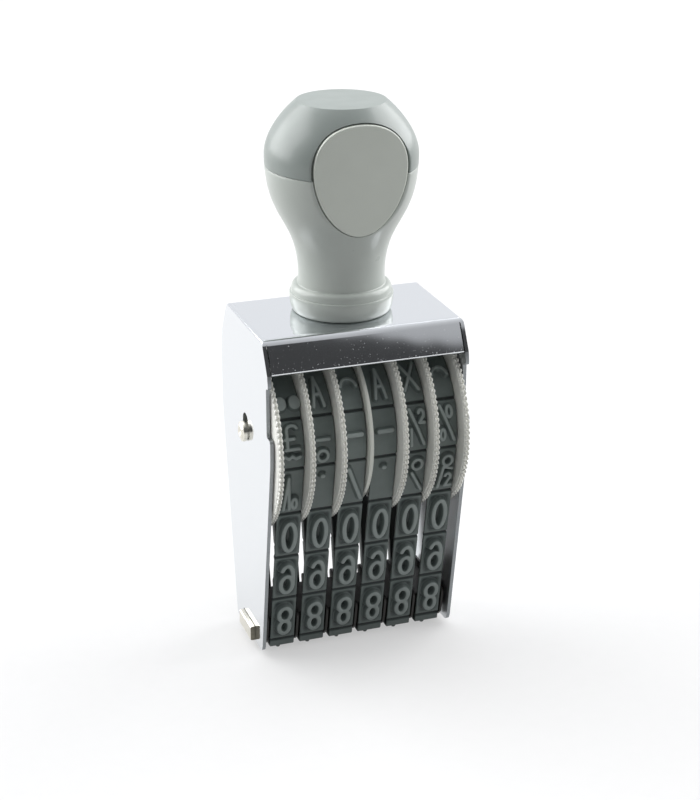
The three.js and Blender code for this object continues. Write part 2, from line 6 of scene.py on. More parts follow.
import logging
import math
from collections.abc import Sequence
from dataclasses import dataclass, replace
from enum import Enum

import bmesh
import bpy
import numpy as np
from mathutils import Matrix, Vector


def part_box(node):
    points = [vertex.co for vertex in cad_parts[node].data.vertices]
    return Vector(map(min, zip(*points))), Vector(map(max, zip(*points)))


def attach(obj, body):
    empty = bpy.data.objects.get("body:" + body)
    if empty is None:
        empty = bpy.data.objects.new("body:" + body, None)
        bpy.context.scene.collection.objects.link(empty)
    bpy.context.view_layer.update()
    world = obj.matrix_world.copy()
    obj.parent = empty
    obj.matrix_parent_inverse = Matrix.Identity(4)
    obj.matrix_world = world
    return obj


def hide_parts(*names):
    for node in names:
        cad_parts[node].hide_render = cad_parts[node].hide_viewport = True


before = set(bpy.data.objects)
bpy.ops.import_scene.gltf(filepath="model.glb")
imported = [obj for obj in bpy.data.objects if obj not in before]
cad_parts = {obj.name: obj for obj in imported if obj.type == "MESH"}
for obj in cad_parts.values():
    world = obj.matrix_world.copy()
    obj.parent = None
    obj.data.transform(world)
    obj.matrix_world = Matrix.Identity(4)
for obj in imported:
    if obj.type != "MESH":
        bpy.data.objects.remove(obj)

Point = tuple[float, float]
Points = Sequence[Point]

MM = 0.001
DOUBLED_WITHIN = 0.002
RISE = "rise"
log = logging.getLogger("numbering_machine")


class Axis(Enum):
    """The direction an outline is carried along or turned about, with the two axes of the outline's plane."""

    X = (0, 1, 2)
    Y = (1, 0, 2)
    Z = (2, 0, 1)


class Joining(Enum):
    """How one solid acts on another."""

    ADD = "UNION"
    CUT = "DIFFERENCE"
    MEET = "INTERSECT"


# Colours, nodes and modifiers


def linear(hex_colour: str) -> tuple[float, float, float, float]:
    """Turns an sRGB hex value into the linear colour that a shader takes.

    Args:
        hex_colour: such as "#c0c4c8".

    Returns:
        Red, green, blue and an alpha of 1.
    """
    channels = [int(hex_colour[start:start + 2], 16) / 255 for start in (1, 3, 5)]
    lit = [c / 12.92 if c <= 0.04045 else ((c + 0.055) / 1.055) ** 2.4 for c in channels]
    return (*lit, 1.0)


def per_metre(size: float) -> float:
    """The scale of a pattern whose features are that many millimetres apart."""
    return 1 / (size * MM)


def add_node(tree: bpy.types.NodeTree, kind: str, inputs: dict[str | int, object] | None = None,
             **settings: object) -> bpy.types.Node:
    """Adds one node with its settings and links.

    Args:
        tree: the material, world or geometry tree.
        kind: the node's type.
        inputs: by name or place, a socket to link from, a list of sockets, or a plain value.
        settings: properties of the node itself.

    Returns:
        The new node.
    """
    node = tree.nodes.new(kind)
    for name, value in settings.items():
        setattr(node, name, value)
    for name, value in (inputs or {}).items():
        sockets = value if isinstance(value, list) else [value]
        if isinstance(sockets[0], bpy.types.NodeSocket):
            for socket in sockets:
                tree.links.new(socket, node.inputs[name])
        else:
            node.inputs[name].default_value = value
    return node


def new_material(name: str) -> tuple[bpy.types.Material, bpy.types.NodeTree, bpy.types.NodeSocket]:
    """Starts a material with an empty tree that reads the piece's own coordinates.

    Args:
        name: the material's name.

    Returns:
        The material, its tree, and the socket that gives the coordinates.
    """
    material = bpy.data.materials.new(name)
    material.use_nodes = True
    tree = material.node_tree
    tree.nodes.clear()
    return material, tree, add_node(tree, "ShaderNodeTexCoord").outputs["Object"]


def new_geometry_tree(name: str, sockets: dict[str, str]) -> tuple[bpy.types.NodeTree, bpy.types.Node]:
    """Starts a Geometry Nodes tree with named inputs and one geometry output.

    Args:
        name: the tree's name.
        sockets: the inputs after the geometry, each with its socket type.

    Returns:
        The tree and its input node.
    """
    tree = bpy.data.node_groups.new(name, "GeometryNodeTree")
    for socket, kind in {"Geometry": "NodeSocketGeometry", **sockets}.items():
        tree.interface.new_socket(name=socket, in_out="INPUT", socket_type=kind)
    tree.interface.new_socket(name="Geometry", in_out="OUTPUT", socket_type="NodeSocketGeometry")
    return tree, add_node(tree, "NodeGroupInput")


def end_tree(tree: bpy.types.NodeTree, geometry: bpy.types.NodeSocket,
             material: bpy.types.NodeSocket) -> None:
    """Ends a tree in Realize Instances and Set Material.

    Args:
        tree: the tree to end.
        geometry: what the tree made.
        material: the material to set on it.
    """
    real = add_node(tree, "GeometryNodeRealizeInstances", {"Geometry": geometry})
    dressed = add_node(tree, "GeometryNodeSetMaterial", {
        "Geometry": real.outputs["Geometry"], "Material": material})
    add_node(tree, "NodeGroupOutput", {"Geometry": dressed.outputs["Geometry"]})


def bake(piece: bpy.types.Object) -> bpy.types.Object:
    """Turns a piece with modifiers into a plain mesh.

    Args:
        piece: the object whose modifiers are to become its mesh.

    Returns:
        The same object.
    """
    bpy.context.view_layer.update()
    graph = bpy.context.evaluated_depsgraph_get()
    made = bpy.data.meshes.new_from_object(
        piece.evaluated_get(graph), preserve_all_data_layers=True, depsgraph=graph)
    piece.modifiers.clear()
    piece.data = made
    return piece


def run_tree(piece: bpy.types.Object, tree: bpy.types.NodeTree, values: dict[str, object]) -> None:
    """Runs a Geometry Nodes tree on a piece and keeps the result as its plain mesh.

    Args:
        piece: the object that the tree works on.
        tree: the tree.
        values: the value of each named input.
    """
    modifier = piece.modifiers.new(tree.name, "NODES")
    modifier.node_group = tree
    for socket in tree.interface.items_tree:
        if socket.in_out == "INPUT" and socket.name in values:
            modifier[socket.identifier] = values[socket.name]
    bake(piece)


# Meshes


def in_scene(name: str, data: bpy.types.ID) -> bpy.types.Object:
    """Makes an object and puts it in the scene.

    Args:
        name: the object's name.
        data: its mesh, camera or light.

    Returns:
        The object.
    """
    thing = bpy.data.objects.new(name, data)
    bpy.context.scene.collection.objects.link(thing)
    return thing


def mesh_object(name: str, corners: np.ndarray, faces: Sequence[Sequence[int]]) -> bpy.types.Object:
    """Makes an object at the origin from corners in millimetres.

    Args:
        name: the object's name.
        corners: one row of x, y and z for each corner.
        faces: the corners of each face.

    Returns:
        The object, with its faces turned outwards.
    """
    mesh = bpy.data.meshes.new(name)
    mesh.from_pydata(np.asarray(corners, float) * MM, [], faces)
    work = bmesh.new()
    work.from_mesh(mesh)
    bmesh.ops.recalc_face_normals(work, faces=work.faces)
    work.to_mesh(mesh)
    work.free()
    return in_scene(name, mesh)


def curve_points(controls: Points, steps: int) -> list[Point]:
    """Points along a Bezier curve, without its first.

    Args:
        controls: the start, the control points and the end.
        steps: how many points.

    Returns:
        The points, the end among them.
    """
    degree = len(controls) - 1
    shares = np.linspace(0, 1, steps + 1)[1:]
    weights = [math.comb(degree, k) * shares ** k * (1 - shares) ** (degree - k) for k in range(degree + 1)]
    return [tuple(p) for p in np.array(weights).T @ np.array(controls, float)]


class Outline:
    """An outline drawn run by run, in the manner of a pen."""

    def __init__(self, start: Point, steps: int = 14) -> None:
        """Puts the pen at the start, and notes how many steps a curve has."""
        self.points: list[Point] = [start]
        self.steps = steps

    def line(self, *points: Point) -> None:
        """Draws straight runs through the points."""
        self.points.extend(points)

    def curve(self, *controls: Point) -> None:
        """Draws one Bezier curve from the pen, ending at the last control."""
        self.points.extend(curve_points([self.points[-1], *controls], self.steps))


def prism(name: str, outline: Points, axis: Axis, start: float, end: float) -> bpy.types.Object:
    """Carries a closed outline along an axis.

    Args:
        name: the object's name.
        outline: the outline's points, without repeats.
        axis: the direction.
        start: where it starts.
        end: where it ends.

    Returns:
        A closed solid.
    """
    count = len(outline)
    corners = np.zeros((2 * count, 3))
    along, first, second = axis.value
    corners[:, (first, second)] = np.vstack([outline, outline])
    corners[:count, along] = start
    corners[count:, along] = end
    sides = [(k, (k + 1) % count, (k + 1) % count + count, k + count) for k in range(count)]
    return mesh_object(name, corners, [tuple(range(count)), tuple(range(count, 2 * count)), *sides])


def revolve(name: str, profile: Points, axis: Axis, angles: np.ndarray) -> bpy.types.Object:
    """Turns a closed profile round an axis.

    Args:
        name: the object's name.
        profile: radius and place along the axis; its ends are on the axis, or it closes on itself.
        axis: the axis.
        angles: where the turned sections stand, in radians.

    Returns:
        A closed solid.
    """
    along, first, second = axis.value
    rings: list[list[int]] = []
    corners: list[np.ndarray] = []
    for radius, place in profile:
        ring_angles = angles if radius > 0 else angles[:1]
        ring = np.zeros((len(ring_angles), 3))
        ring[:, along] = place
        ring[:, first] = radius * np.sin(ring_angles)
        ring[:, second] = -radius * np.cos(ring_angles)
        start = sum(len(c) for c in corners)
        rings.append([start + (k if radius > 0 else 0) for k in range(len(angles))])
        corners.append(ring)
    faces = []
    open_profile = profile[0][0] == 0 and profile[-1][0] == 0
    pairs = list(zip(rings, rings[1:])) if open_profile else list(zip(rings, [*rings[1:], rings[0]]))
    for near, far in pairs:
        for k in range(len(angles)):
            after = (k + 1) % len(angles)
            face = [near[k], near[after], far[after], far[k]]
            faces.append(tuple(dict.fromkeys(face)))
    return mesh_object(name, np.vstack(corners), faces)


def all_round(count: int) -> np.ndarray:
    """Evenly spaced angles round a full turn."""
    return np.arange(count) * 2 * math.pi / count


def combine(piece: bpy.types.Object, tool: bpy.types.Object, how: Joining) -> None:
    """Joins or cuts a piece with a tool, which is used up.

    Args:
        piece: the piece that stays.
        tool: the solid that acts on it.
        how: add, cut or meet.
    """
    modifier = piece.modifiers.new("tool", "BOOLEAN")
    modifier.operation = how.value
    modifier.solver = "EXACT"
    modifier.object = tool
    bake(piece)
    bpy.data.objects.remove(tool)


def merge(piece: bpy.types.Object, flat_angle: float) -> None:
    """Merges doubled corners, and joins faces that lie flat to each other.

    Args:
        piece: the object.
        flat_angle: edges flatter than this many degrees go.
    """
    work = bmesh.new()
    work.from_mesh(piece.data)
    bmesh.ops.remove_doubles(work, verts=work.verts, dist=DOUBLED_WITHIN * MM)
    bmesh.ops.dissolve_limit(
        work, angle_limit=math.radians(flat_angle), verts=work.verts, edges=work.edges)
    bmesh.ops.recalc_face_normals(work, faces=work.faces)
    work.to_mesh(piece.data)
    work.free()


def soften(piece: bpy.types.Object, width: float, angle: float = 30.0, segments: int = 2) -> bpy.types.Object:
    """Rounds the sharp edges of a piece and smooths its shading.

    Args:
        piece: the object.
        width: how wide the rounding is.
        angle: edges sharper than this many degrees are rounded.
        segments: how many steps the rounding has.

    Returns:
        The piece.
    """
    smooth(piece, angle)
    modifier = piece.modifiers.new("edges", "BEVEL")
    modifier.width = width * MM
    modifier.segments = segments
    modifier.limit_method = "ANGLE"
    modifier.angle_limit = math.radians(angle)
    modifier.harden_normals = True
    return bake(piece)


def smooth(piece: bpy.types.Object, angle: float = 40.0) -> bpy.types.Object:
    """Smooths a piece's shading, but not over its sharp edges.

    Args:
        piece: the object.
        angle: edges sharper than this many degrees stay sharp.

    Returns:
        The piece.
    """
    piece.data.shade_smooth()
    piece.data.set_sharp_from_angle(angle=math.radians(angle))
    return piece


def move(piece: bpy.types.Object, y: float = 0.0, z: float = 0.0) -> None:
    """Moves a piece's mesh by a shift in millimetres, and leaves its object at the origin."""
    piece.data.transform(Matrix.Translation((0.0, y * MM, z * MM)))


def refined_copy(node: str, width: float) -> bpy.types.Object:
    """Copies a CAD node as a piece of its own, with rounded edges.

    Args:
        node: the node.
        width: how wide the rounding is.

    Returns:
        The new piece.
    """
    piece = in_scene(f"{node}_dressed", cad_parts[node].data.copy())
    merge(piece, flat_angle=1.0)
    return soften(piece, width)


def finish_piece(piece: bpy.types.Object, body: str, nodes: Sequence[str],
                 material: bpy.types.Material | None = None) -> None:
    """Hands a finished piece to the frame and reports it.

    Args:
        piece: the piece, in place.
        body: the CAD body that it rides on.
        nodes: the CAD nodes that it stands for.
        material: its finish, where it has none yet.
    """
    if material:
        piece.data.materials.clear()
        piece.data.materials.append(material)
    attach(piece, body)
    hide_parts(*nodes)
    piece.data.calc_loop_triangles()
    log.info("%s: %d triangles on body %s", piece.name, len(piece.data.loop_triangles), body)


def box_mm(node: str) -> tuple[Vector, Vector]:
    """The lowest and highest corner of a CAD node, in millimetres."""
    low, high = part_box(node)
    return low / MM, high / MM


def handle_set_back() -> float:
    """How far the handle's axis stands behind the middle, in millimetres, by the screw that holds it."""
    low, high = box_mm("handle_screw")
    return (low.y + high.y) / 2


# Finishes


@dataclass(frozen=True)
class MouldedPlastic:
    """Injection-moulded plastic: an even colour with a faint mottle, a fine grain and a soft gloss.

    The grain is drawn coarser than the mould's own, so that it shows.
    """

    name: str
    colour: str
    mottle_colour: str
    roughness: float
    roughness_spread: float = 0.06
    coat: float = 0.0
    coat_roughness: float = 0.08
    ior: float = 1.5
    mottle_size: float = 4.0
    grain_size: float = 0.35
    grain_depth: float = 0.004
    grain_strength: float = 0.6

    def material(self) -> bpy.types.Material:
        """Builds the material.

        Returns:
            The material.
        """
        material, tree, place = new_material(self.name)
        mottle = add_node(tree, "ShaderNodeTexNoise", {
            "Vector": place, "Scale": per_metre(self.mottle_size), "Detail": 3.0})
        grain = add_node(tree, "ShaderNodeTexNoise", {
            "Vector": place, "Scale": per_metre(self.grain_size), "Detail": 2.0})
        colour = add_node(tree, "ShaderNodeMix", {
            "Factor": mottle.outputs["Fac"], "A": linear(self.colour), "B": linear(self.mottle_colour),
        }, data_type="RGBA")
        rough = add_node(tree, "ShaderNodeMapRange", {
            "Value": mottle.outputs["Fac"], "To Min": self.roughness - self.roughness_spread,
            "To Max": self.roughness + self.roughness_spread})
        bump = add_node(tree, "ShaderNodeBump", {
            "Height": grain.outputs["Fac"], "Strength": self.grain_strength,
            "Distance": self.grain_depth * MM})
        shader = add_node(tree, "ShaderNodeBsdfPrincipled", {
            "Base Color": colour.outputs["Result"], "Roughness": rough.outputs["Result"],
            "Normal": bump.outputs["Normal"], "IOR": self.ior, "Coat Weight": self.coat,
            "Coat Roughness": self.coat_roughness})
        add_node(tree, "ShaderNodeOutputMaterial", {"Surface": shader.outputs["BSDF"]})
        return material


@dataclass(frozen=True)
class ChromedSheet:
    """Bright chromium on rolled steel sheet.

    It is a mirror that waves a little, dull on the inside and finely specked at the aprons' hems.
    """

    name: str = "bright_chromed_steel_sheet"
    colour: str = "#e2e5e8"
    roughness: float = 0.07
    inner_roughness: float = 0.34
    speck_roughness: float = 0.5
    wave_size: float = 14.0
    wave_depth: float = 0.05
    speck_size: float = 0.32
    speck_level: float = 0.735
    hem_speck_level: float = 0.65
    hem_height: float = 63.0
    hem_fade: float = 1.1
    apron_foot: float = 61.8
    inner_half: float = 19.3

    def material(self) -> bpy.types.Material:
        """Builds the material.

        Returns:
            The material.
        """
        material, tree, place = new_material(self.name)
        wave = add_node(tree, "ShaderNodeTexNoise", {
            "Vector": place, "Scale": per_metre(self.wave_size), "Detail": 1.0})
        speck = add_node(tree, "ShaderNodeTexNoise", {
            "Vector": place, "Scale": per_metre(self.speck_size), "Detail": 2.0})
        apart = add_node(tree, "ShaderNodeSeparateXYZ", {"Vector": place})
        aside = add_node(tree, "ShaderNodeMath", {0: apart.outputs["X"]}, operation="ABSOLUTE")
        between_plates = add_node(tree, "ShaderNodeMath", {
            0: aside.outputs["Value"], 1: self.inner_half * MM}, operation="LESS_THAN")
        hem = add_node(tree, "ShaderNodeMapRange", {
            "Value": apart.outputs["Z"], "From Min": (self.hem_height + self.hem_fade) * MM,
            "From Max": (self.hem_height - self.hem_fade) * MM,
            "To Min": self.speck_level, "To Max": self.hem_speck_level})
        scratched = add_node(tree, "ShaderNodeMath", {
            0: speck.outputs["Fac"], 1: hem.outputs["Result"]}, operation="GREATER_THAN")
        specked = add_node(tree, "ShaderNodeMath", {
            0: scratched.outputs["Value"], 1: between_plates.outputs["Value"]}, operation="MULTIPLY")
        below_apron = add_node(tree, "ShaderNodeMath", {
            0: apart.outputs["Z"], 1: self.apron_foot * MM}, operation="LESS_THAN")
        inside_face = add_node(tree, "ShaderNodeMath", {
            0: below_apron.outputs["Value"], 1: between_plates.outputs["Value"]}, operation="MULTIPLY")
        rough = add_node(tree, "ShaderNodeMapRange", {
            "Value": specked.outputs["Value"],
            "To Min": self.roughness, "To Max": self.speck_roughness})
        dulled = add_node(tree, "ShaderNodeMix", {
            "Factor": inside_face.outputs["Value"], "A": rough.outputs["Result"], "B": self.inner_roughness,
        }, data_type="FLOAT")
        bump = add_node(tree, "ShaderNodeBump", {
            "Height": wave.outputs["Fac"], "Strength": 1.0, "Distance": self.wave_depth * MM})
        shader = add_node(tree, "ShaderNodeBsdfPrincipled", {
            "Base Color": linear(self.colour), "Metallic": 1.0, "Roughness": dulled.outputs["Result"],
            "Normal": bump.outputs["Normal"]})
        add_node(tree, "ShaderNodeOutputMaterial", {"Surface": shader.outputs["BSDF"]})
        return material


@dataclass(frozen=True)
class PlatedSteel:
    """Nickel-plated steel, turned, milled or sheared: a warm grey metal with tool marks along one direction.

    The marks are drawn coarser than real ones, so that they show.
    """

    name: str = "nickel_plated_steel"
    colour: str = "#b4ae9e"
    dark_colour: str = "#8f897a"
    roughness: float = 0.32
    mark_size: float = 0.25
    mark_stretch: float = 9.0
    mark_depth: float = 0.01
    mark_strength: float = 0.4

    def material(self) -> bpy.types.Material:
        """Builds the material.

        Returns:
            The material.
        """
        material, tree, place = new_material(self.name)
        squeezed = add_node(tree, "ShaderNodeMapping", {
            "Vector": place, "Scale": (1 / self.mark_stretch, 1.0, 1.0)})
        marks = add_node(tree, "ShaderNodeTexNoise", {
            "Vector": squeezed.outputs["Vector"], "Scale": per_metre(self.mark_size), "Detail": 3.0})
        colour = add_node(tree, "ShaderNodeMix", {
            "Factor": marks.outputs["Fac"], "A": linear(self.colour), "B": linear(self.dark_colour),
        }, data_type="RGBA")
        bump = add_node(tree, "ShaderNodeBump", {
            "Height": marks.outputs["Fac"], "Strength": self.mark_strength,
            "Distance": self.mark_depth * MM})
        shader = add_node(tree, "ShaderNodeBsdfPrincipled", {
            "Base Color": colour.outputs["Result"], "Metallic": 1.0, "Roughness": self.roughness,
            "Normal": bump.outputs["Normal"]})
        add_node(tree, "ShaderNodeOutputMaterial", {"Surface": shader.outputs["BSDF"]})
        return material


@dataclass(frozen=True)
class BlackenedSheet:
    """Chemically blackened steel: nearly black and satin, with a brownish bloom."""

    name: str = "blackened_steel_sheet"
    colour: str = "#151817"
    bloom_colour: str = "#2a2722"
    bloom_size: float = 2.5
    smoothest: float = 0.4
    roughest: float = 0.65

    def material(self) -> bpy.types.Material:
        """Builds the material.

        Returns:
            The material.
        """
        material, tree, place = new_material(self.name)
        bloom = add_node(tree, "ShaderNodeTexNoise", {
            "Vector": place, "Scale": per_metre(self.bloom_size), "Detail": 4.0})
        colour = add_node(tree, "ShaderNodeMix", {
            "Factor": bloom.outputs["Fac"], "A": linear(self.colour), "B": linear(self.bloom_colour),
        }, data_type="RGBA")
        rough = add_node(tree, "ShaderNodeMapRange", {
            "Value": bloom.outputs["Fac"], "To Min": self.smoothest, "To Max": self.roughest})
        shader = add_node(tree, "ShaderNodeBsdfPrincipled", {
            "Base Color": colour.outputs["Result"], "Roughness": rough.outputs["Result"]})
        add_node(tree, "ShaderNodeOutputMaterial", {"Surface": shader.outputs["BSDF"]})
        return material


@dataclass(frozen=True)
class TypeRubber:
    """Vulcanised rubber, grey-green with a dull sheen.

    It is pale where the type and the tiles' edges stand high, partly from rubbing and partly as a painted
    highlight, and dark in the fields, on the flanks and down in the grooves and counters, as painted shade.
    Its dust is drawn coarser than real dust, so that it shows.
    """

    name: str = "vulcanised_type_rubber"
    lowest: float = -1.2
    highest: float = 1.2
    # Pale stops high up are partly rubbing and partly a painted highlight; the dark stops low down are
    # painted shade in the fields, on the flanks, in the grooves and in the counters
    rubbed_and_painted_light_tones: tuple[tuple[float, str], ...] = (
        (-0.95, "#282f2e"), (-0.8, "#414b49"), (-0.5, "#656f6c"), (-0.4, "#525b59"), (0.3, "#5f6966"),
        (0.46, "#8a9390"))
    palest_bloom: float = 1.15
    darkest_bloom: float = 0.85
    smoothest: float = 0.36
    roughest: float = 0.56
    ior: float = 1.52
    bloom_size: float = 1.6
    dust_size: float = 0.4
    dust_depth: float = 0.012
    dust_strength: float = 0.5

    def material(self) -> bpy.types.Material:
        """Builds the material, whose colours follow how far a point stands above or below the band's line:
        pale high up, partly as rubbing and partly as a painted highlight, and dark low down as painted shade.

        Returns:
            The material.
        """
        material, tree, place = new_material(self.name)
        rise = add_node(tree, "ShaderNodeAttribute", attribute_name=RISE)
        bloom = add_node(tree, "ShaderNodeTexNoise", {
            "Vector": place, "Scale": per_metre(self.bloom_size), "Detail": 4.0})
        dust = add_node(tree, "ShaderNodeTexNoise", {
            "Vector": place, "Scale": per_metre(self.dust_size), "Detail": 1.0})
        share = add_node(tree, "ShaderNodeMapRange", {
            "Value": rise.outputs["Fac"], "From Min": self.lowest * MM, "From Max": self.highest * MM})
        # The ramp paints highlight and shade by height above the band's line
        ramp = add_node(tree, "ShaderNodeValToRGB", {"Fac": share.outputs["Result"]})
        stops = ramp.color_ramp.elements
        stops.remove(stops[1])
        for number, (height, colour) in enumerate(self.rubbed_and_painted_light_tones):
            stop_share = (height - self.lowest) / (self.highest - self.lowest)
            stop = stops.new(stop_share) if number else stops[0]
            stop.position = stop_share
            stop.color = linear(colour)
        shade = add_node(tree, "ShaderNodeMapRange", {
            "Value": bloom.outputs["Fac"], "To Min": self.darkest_bloom, "To Max": self.palest_bloom})
        colour = add_node(tree, "ShaderNodeMix", {
            "Factor": 1.0, "A": ramp.outputs["Color"], "B": shade.outputs["Result"],
        }, data_type="RGBA", blend_type="MULTIPLY")
        rough = add_node(tree, "ShaderNodeMapRange", {
            "Value": bloom.outputs["Fac"], "To Min": self.smoothest, "To Max": self.roughest})
        bump = add_node(tree, "ShaderNodeBump", {
            "Height": dust.outputs["Fac"], "Strength": self.dust_strength,
            "Distance": self.dust_depth * MM})
        shader = add_node(tree, "ShaderNodeBsdfPrincipled", {
            "Base Color": colour.outputs["Result"], "Roughness": rough.outputs["Result"],
            "Normal": bump.outputs["Normal"], "IOR": self.ior})
        add_node(tree, "ShaderNodeOutputMaterial", {"Surface": shader.outputs["BSDF"]})
        return material


# Characters of the type


def bow(centre: Point, radii: Point, start: float, end: float, steps: int = 16) -> tuple[Point, ...]:
    """A round stretch of a stroke, in shares of the character's half width and half height.

    Args:
        centre: the middle of the round.
        radii: its reach across and up.
        start: where it starts, in degrees from the right, upwards.
        end: where it ends.
        steps: how many straight steps it has.

    Returns:
        Its points.
    """
    turns = np.radians(np.linspace(start, end, steps + 1))
    return tuple(zip(centre[0] + radii[0] * np.cos(turns), centre[1] + radii[1] * np.sin(turns)))


def ring(centre: Point, radii: Point) -> tuple[Point, ...]:
    """A closed round stroke, in the same shares."""
    return bow(centre, radii, 0, 360, 28)


def turned_over(strokes: Sequence[Points]) -> tuple[tuple[Point, ...], ...]:
    """The same strokes after half a turn."""
    return tuple(tuple((-x, -y) for x, y in stroke) for stroke in strokes)


@dataclass(frozen=True)
class Character:
    """A character as open strokes and closed loops, in shares of its half width and half height."""

    strokes: tuple[tuple[Point, ...], ...] = ()
    loops: tuple[tuple[Point, ...], ...] = ()
    weight: float = 1.0


SIX_TAIL = ((-0.98, -0.42), *bow((0.0, 0.25), (0.98, 0.75), 185, 35))
SIX_LOOP = ring((0.0, -0.38), (0.98, 0.6))
LONG_SLASH = ((-0.72, 0.98), (0.86, -0.8))

DIGITS: dict[str, Character] = {
    "0": Character(loops=(ring((0, 0), (1, 1)),)),
    "1": Character(strokes=(((0.25, -1), (0.25, 1), (-0.5, 0.62)),)),
    "2": Character(strokes=((*bow((0, 0.5), (0.95, 0.5), 165, -35), (-1, -1), (1, -1)),)),
    "3": Character(strokes=(
        bow((-0.05, 0.5), (0.9, 0.5), 155, -90), bow((-0.05, -0.48), (1.0, 0.52), 90, -155))),
    "4": Character(strokes=(((0.45, -1), (0.45, 1), (-1, -0.4), (1, -0.4)),)),
    "5": Character(strokes=(
        ((0.85, 1), (-0.7, 1), (-0.8, 0.08)), bow((-0.02, -0.38), (1.0, 0.62), 142, -150))),
    "6": Character(strokes=(SIX_TAIL,), loops=(SIX_LOOP,)),
    "7": Character(strokes=(((-1, 0.94), (1, 0.94), (-0.3, -0.8)),)),
    "8": Character(loops=(ring((0, 0.5), (0.86, 0.48)), ring((0, -0.46), (0.98, 0.5)))),
    "9": Character(strokes=turned_over([SIX_TAIL]), loops=turned_over([SIX_LOOP])),
}

# Signs are given as they stand on the front run, upright
SIGNS: dict[str, Character] = {
    "number": Character(
        strokes=(((-0.88, -0.88), (-0.42, 0.92), (-0.22, -0.88)),),
        loops=(ring((0.34, -0.58), (0.26, 0.28)),)),
    "pound": Character(strokes=(
        bow((0.0, 0.78), (0.58, 0.2), 20, 180), ((-0.58, 0.78), (-0.58, -0.16)),
        ((-0.8, 0.34), (0.2, 0.34)), ((-0.8, -0.16), (0.72, -0.16)),
        ((-0.9, -0.5), (-0.5, -0.62), (-0.1, -0.5), (0.3, -0.64), (0.8, -0.56)))),
    "lumps": Character(strokes=(((-0.8, -0.6), (-0.8, -0.5)), ((0.8, -0.6), (0.8, -0.5))), weight=4.2),
    "high_point": Character(strokes=(((-0.16, 0.8), (-0.08, 0.8)),), weight=1.5),
    "low_point": Character(strokes=(((0.1, -0.8), (0.14, -0.8)),), weight=1.7),
    "dash": Character(strokes=(((-0.78, 0.12), (0.72, 0.12)),), weight=1.4),
    "dash_over_ring": Character(
        strokes=(((-0.85, 0.12), (0.55, 0.12)),), loops=(ring((-0.22, -0.68), (0.6, 0.27)),)),
    "slash": Character(strokes=(((-0.7, 0.95), (0.86, -0.83)),), weight=1.3),
    "ring_and_slash": Character(
        strokes=(((-0.32, 0.2), (0.9, -0.83)),), loops=(ring((0.24, 0.68), (0.58, 0.28)),)),
    "half": Character(strokes=(
        LONG_SLASH, (*bow((0.6, 0.72), (0.3, 0.2), 160, -35), (0.36, 0.3), (0.95, 0.3)),
        ((-0.62, 0.0), (-0.62, -0.8)))),
    "quarter": Character(
        strokes=(((-0.62, -0.88), (-0.1, 0.3), (0.9, 0.16)),
                 (*bow((0.5, -0.3), (0.32, 0.18), 165, -35), (0.2, -0.82), (0.9, -0.82))),
        loops=(ring((0.3, 0.66), (0.55, 0.28)),)),
    "percent": Character(
        strokes=(LONG_SLASH,),
        loops=(ring((0.34, 0.66), (0.3, 0.27)), ring((-0.5, -0.46), (0.27, 0.27)))),
    "cross": Character(strokes=(((-0.8, -0.7), (0.8, 0.7)), ((-0.8, 0.7), (0.8, -0.7)))),
    "plus": Character(strokes=(((-0.9, 0), (0.9, 0)), ((0, -0.45), (0, 0.45)))),
    "equals": Character(strokes=(((-0.8, 0.2), (0.8, 0.2)), ((-0.8, -0.2), (0.8, -0.2)))),
    "peak": Character(strokes=(((-0.7, -0.9), (-0.1, 0.6), (0.5, -0.9)), ((-0.45, -0.3), (0.25, -0.3)))),
    "bow": Character(strokes=(bow((0, -0.3), (0.95, 0.6), 160, 20),)),
}

DIGITS_BEFORE_SIGNS = ("8", "9", "0")
DIGITS_AFTER_SIGNS = ("1", "2", "3", "4", "5", "6", "7")

# The five signs of each band, in their order up the front
BAND_SIGNS: tuple[tuple[str, ...], ...] = (
    ("number", "pound", "lumps", "plus", "bow"),
    ("high_point", "dash_over_ring", "peak", "slash", "equals"),
    ("slash", "dash", "bow", "plus", "low_point"),
    ("high_point", "dash", "peak", "cross", "slash"),
    ("ring_and_slash", "half", "cross", "number", "plus"),
    ("quarter", "percent", "bow", "peak", "equals"),
)


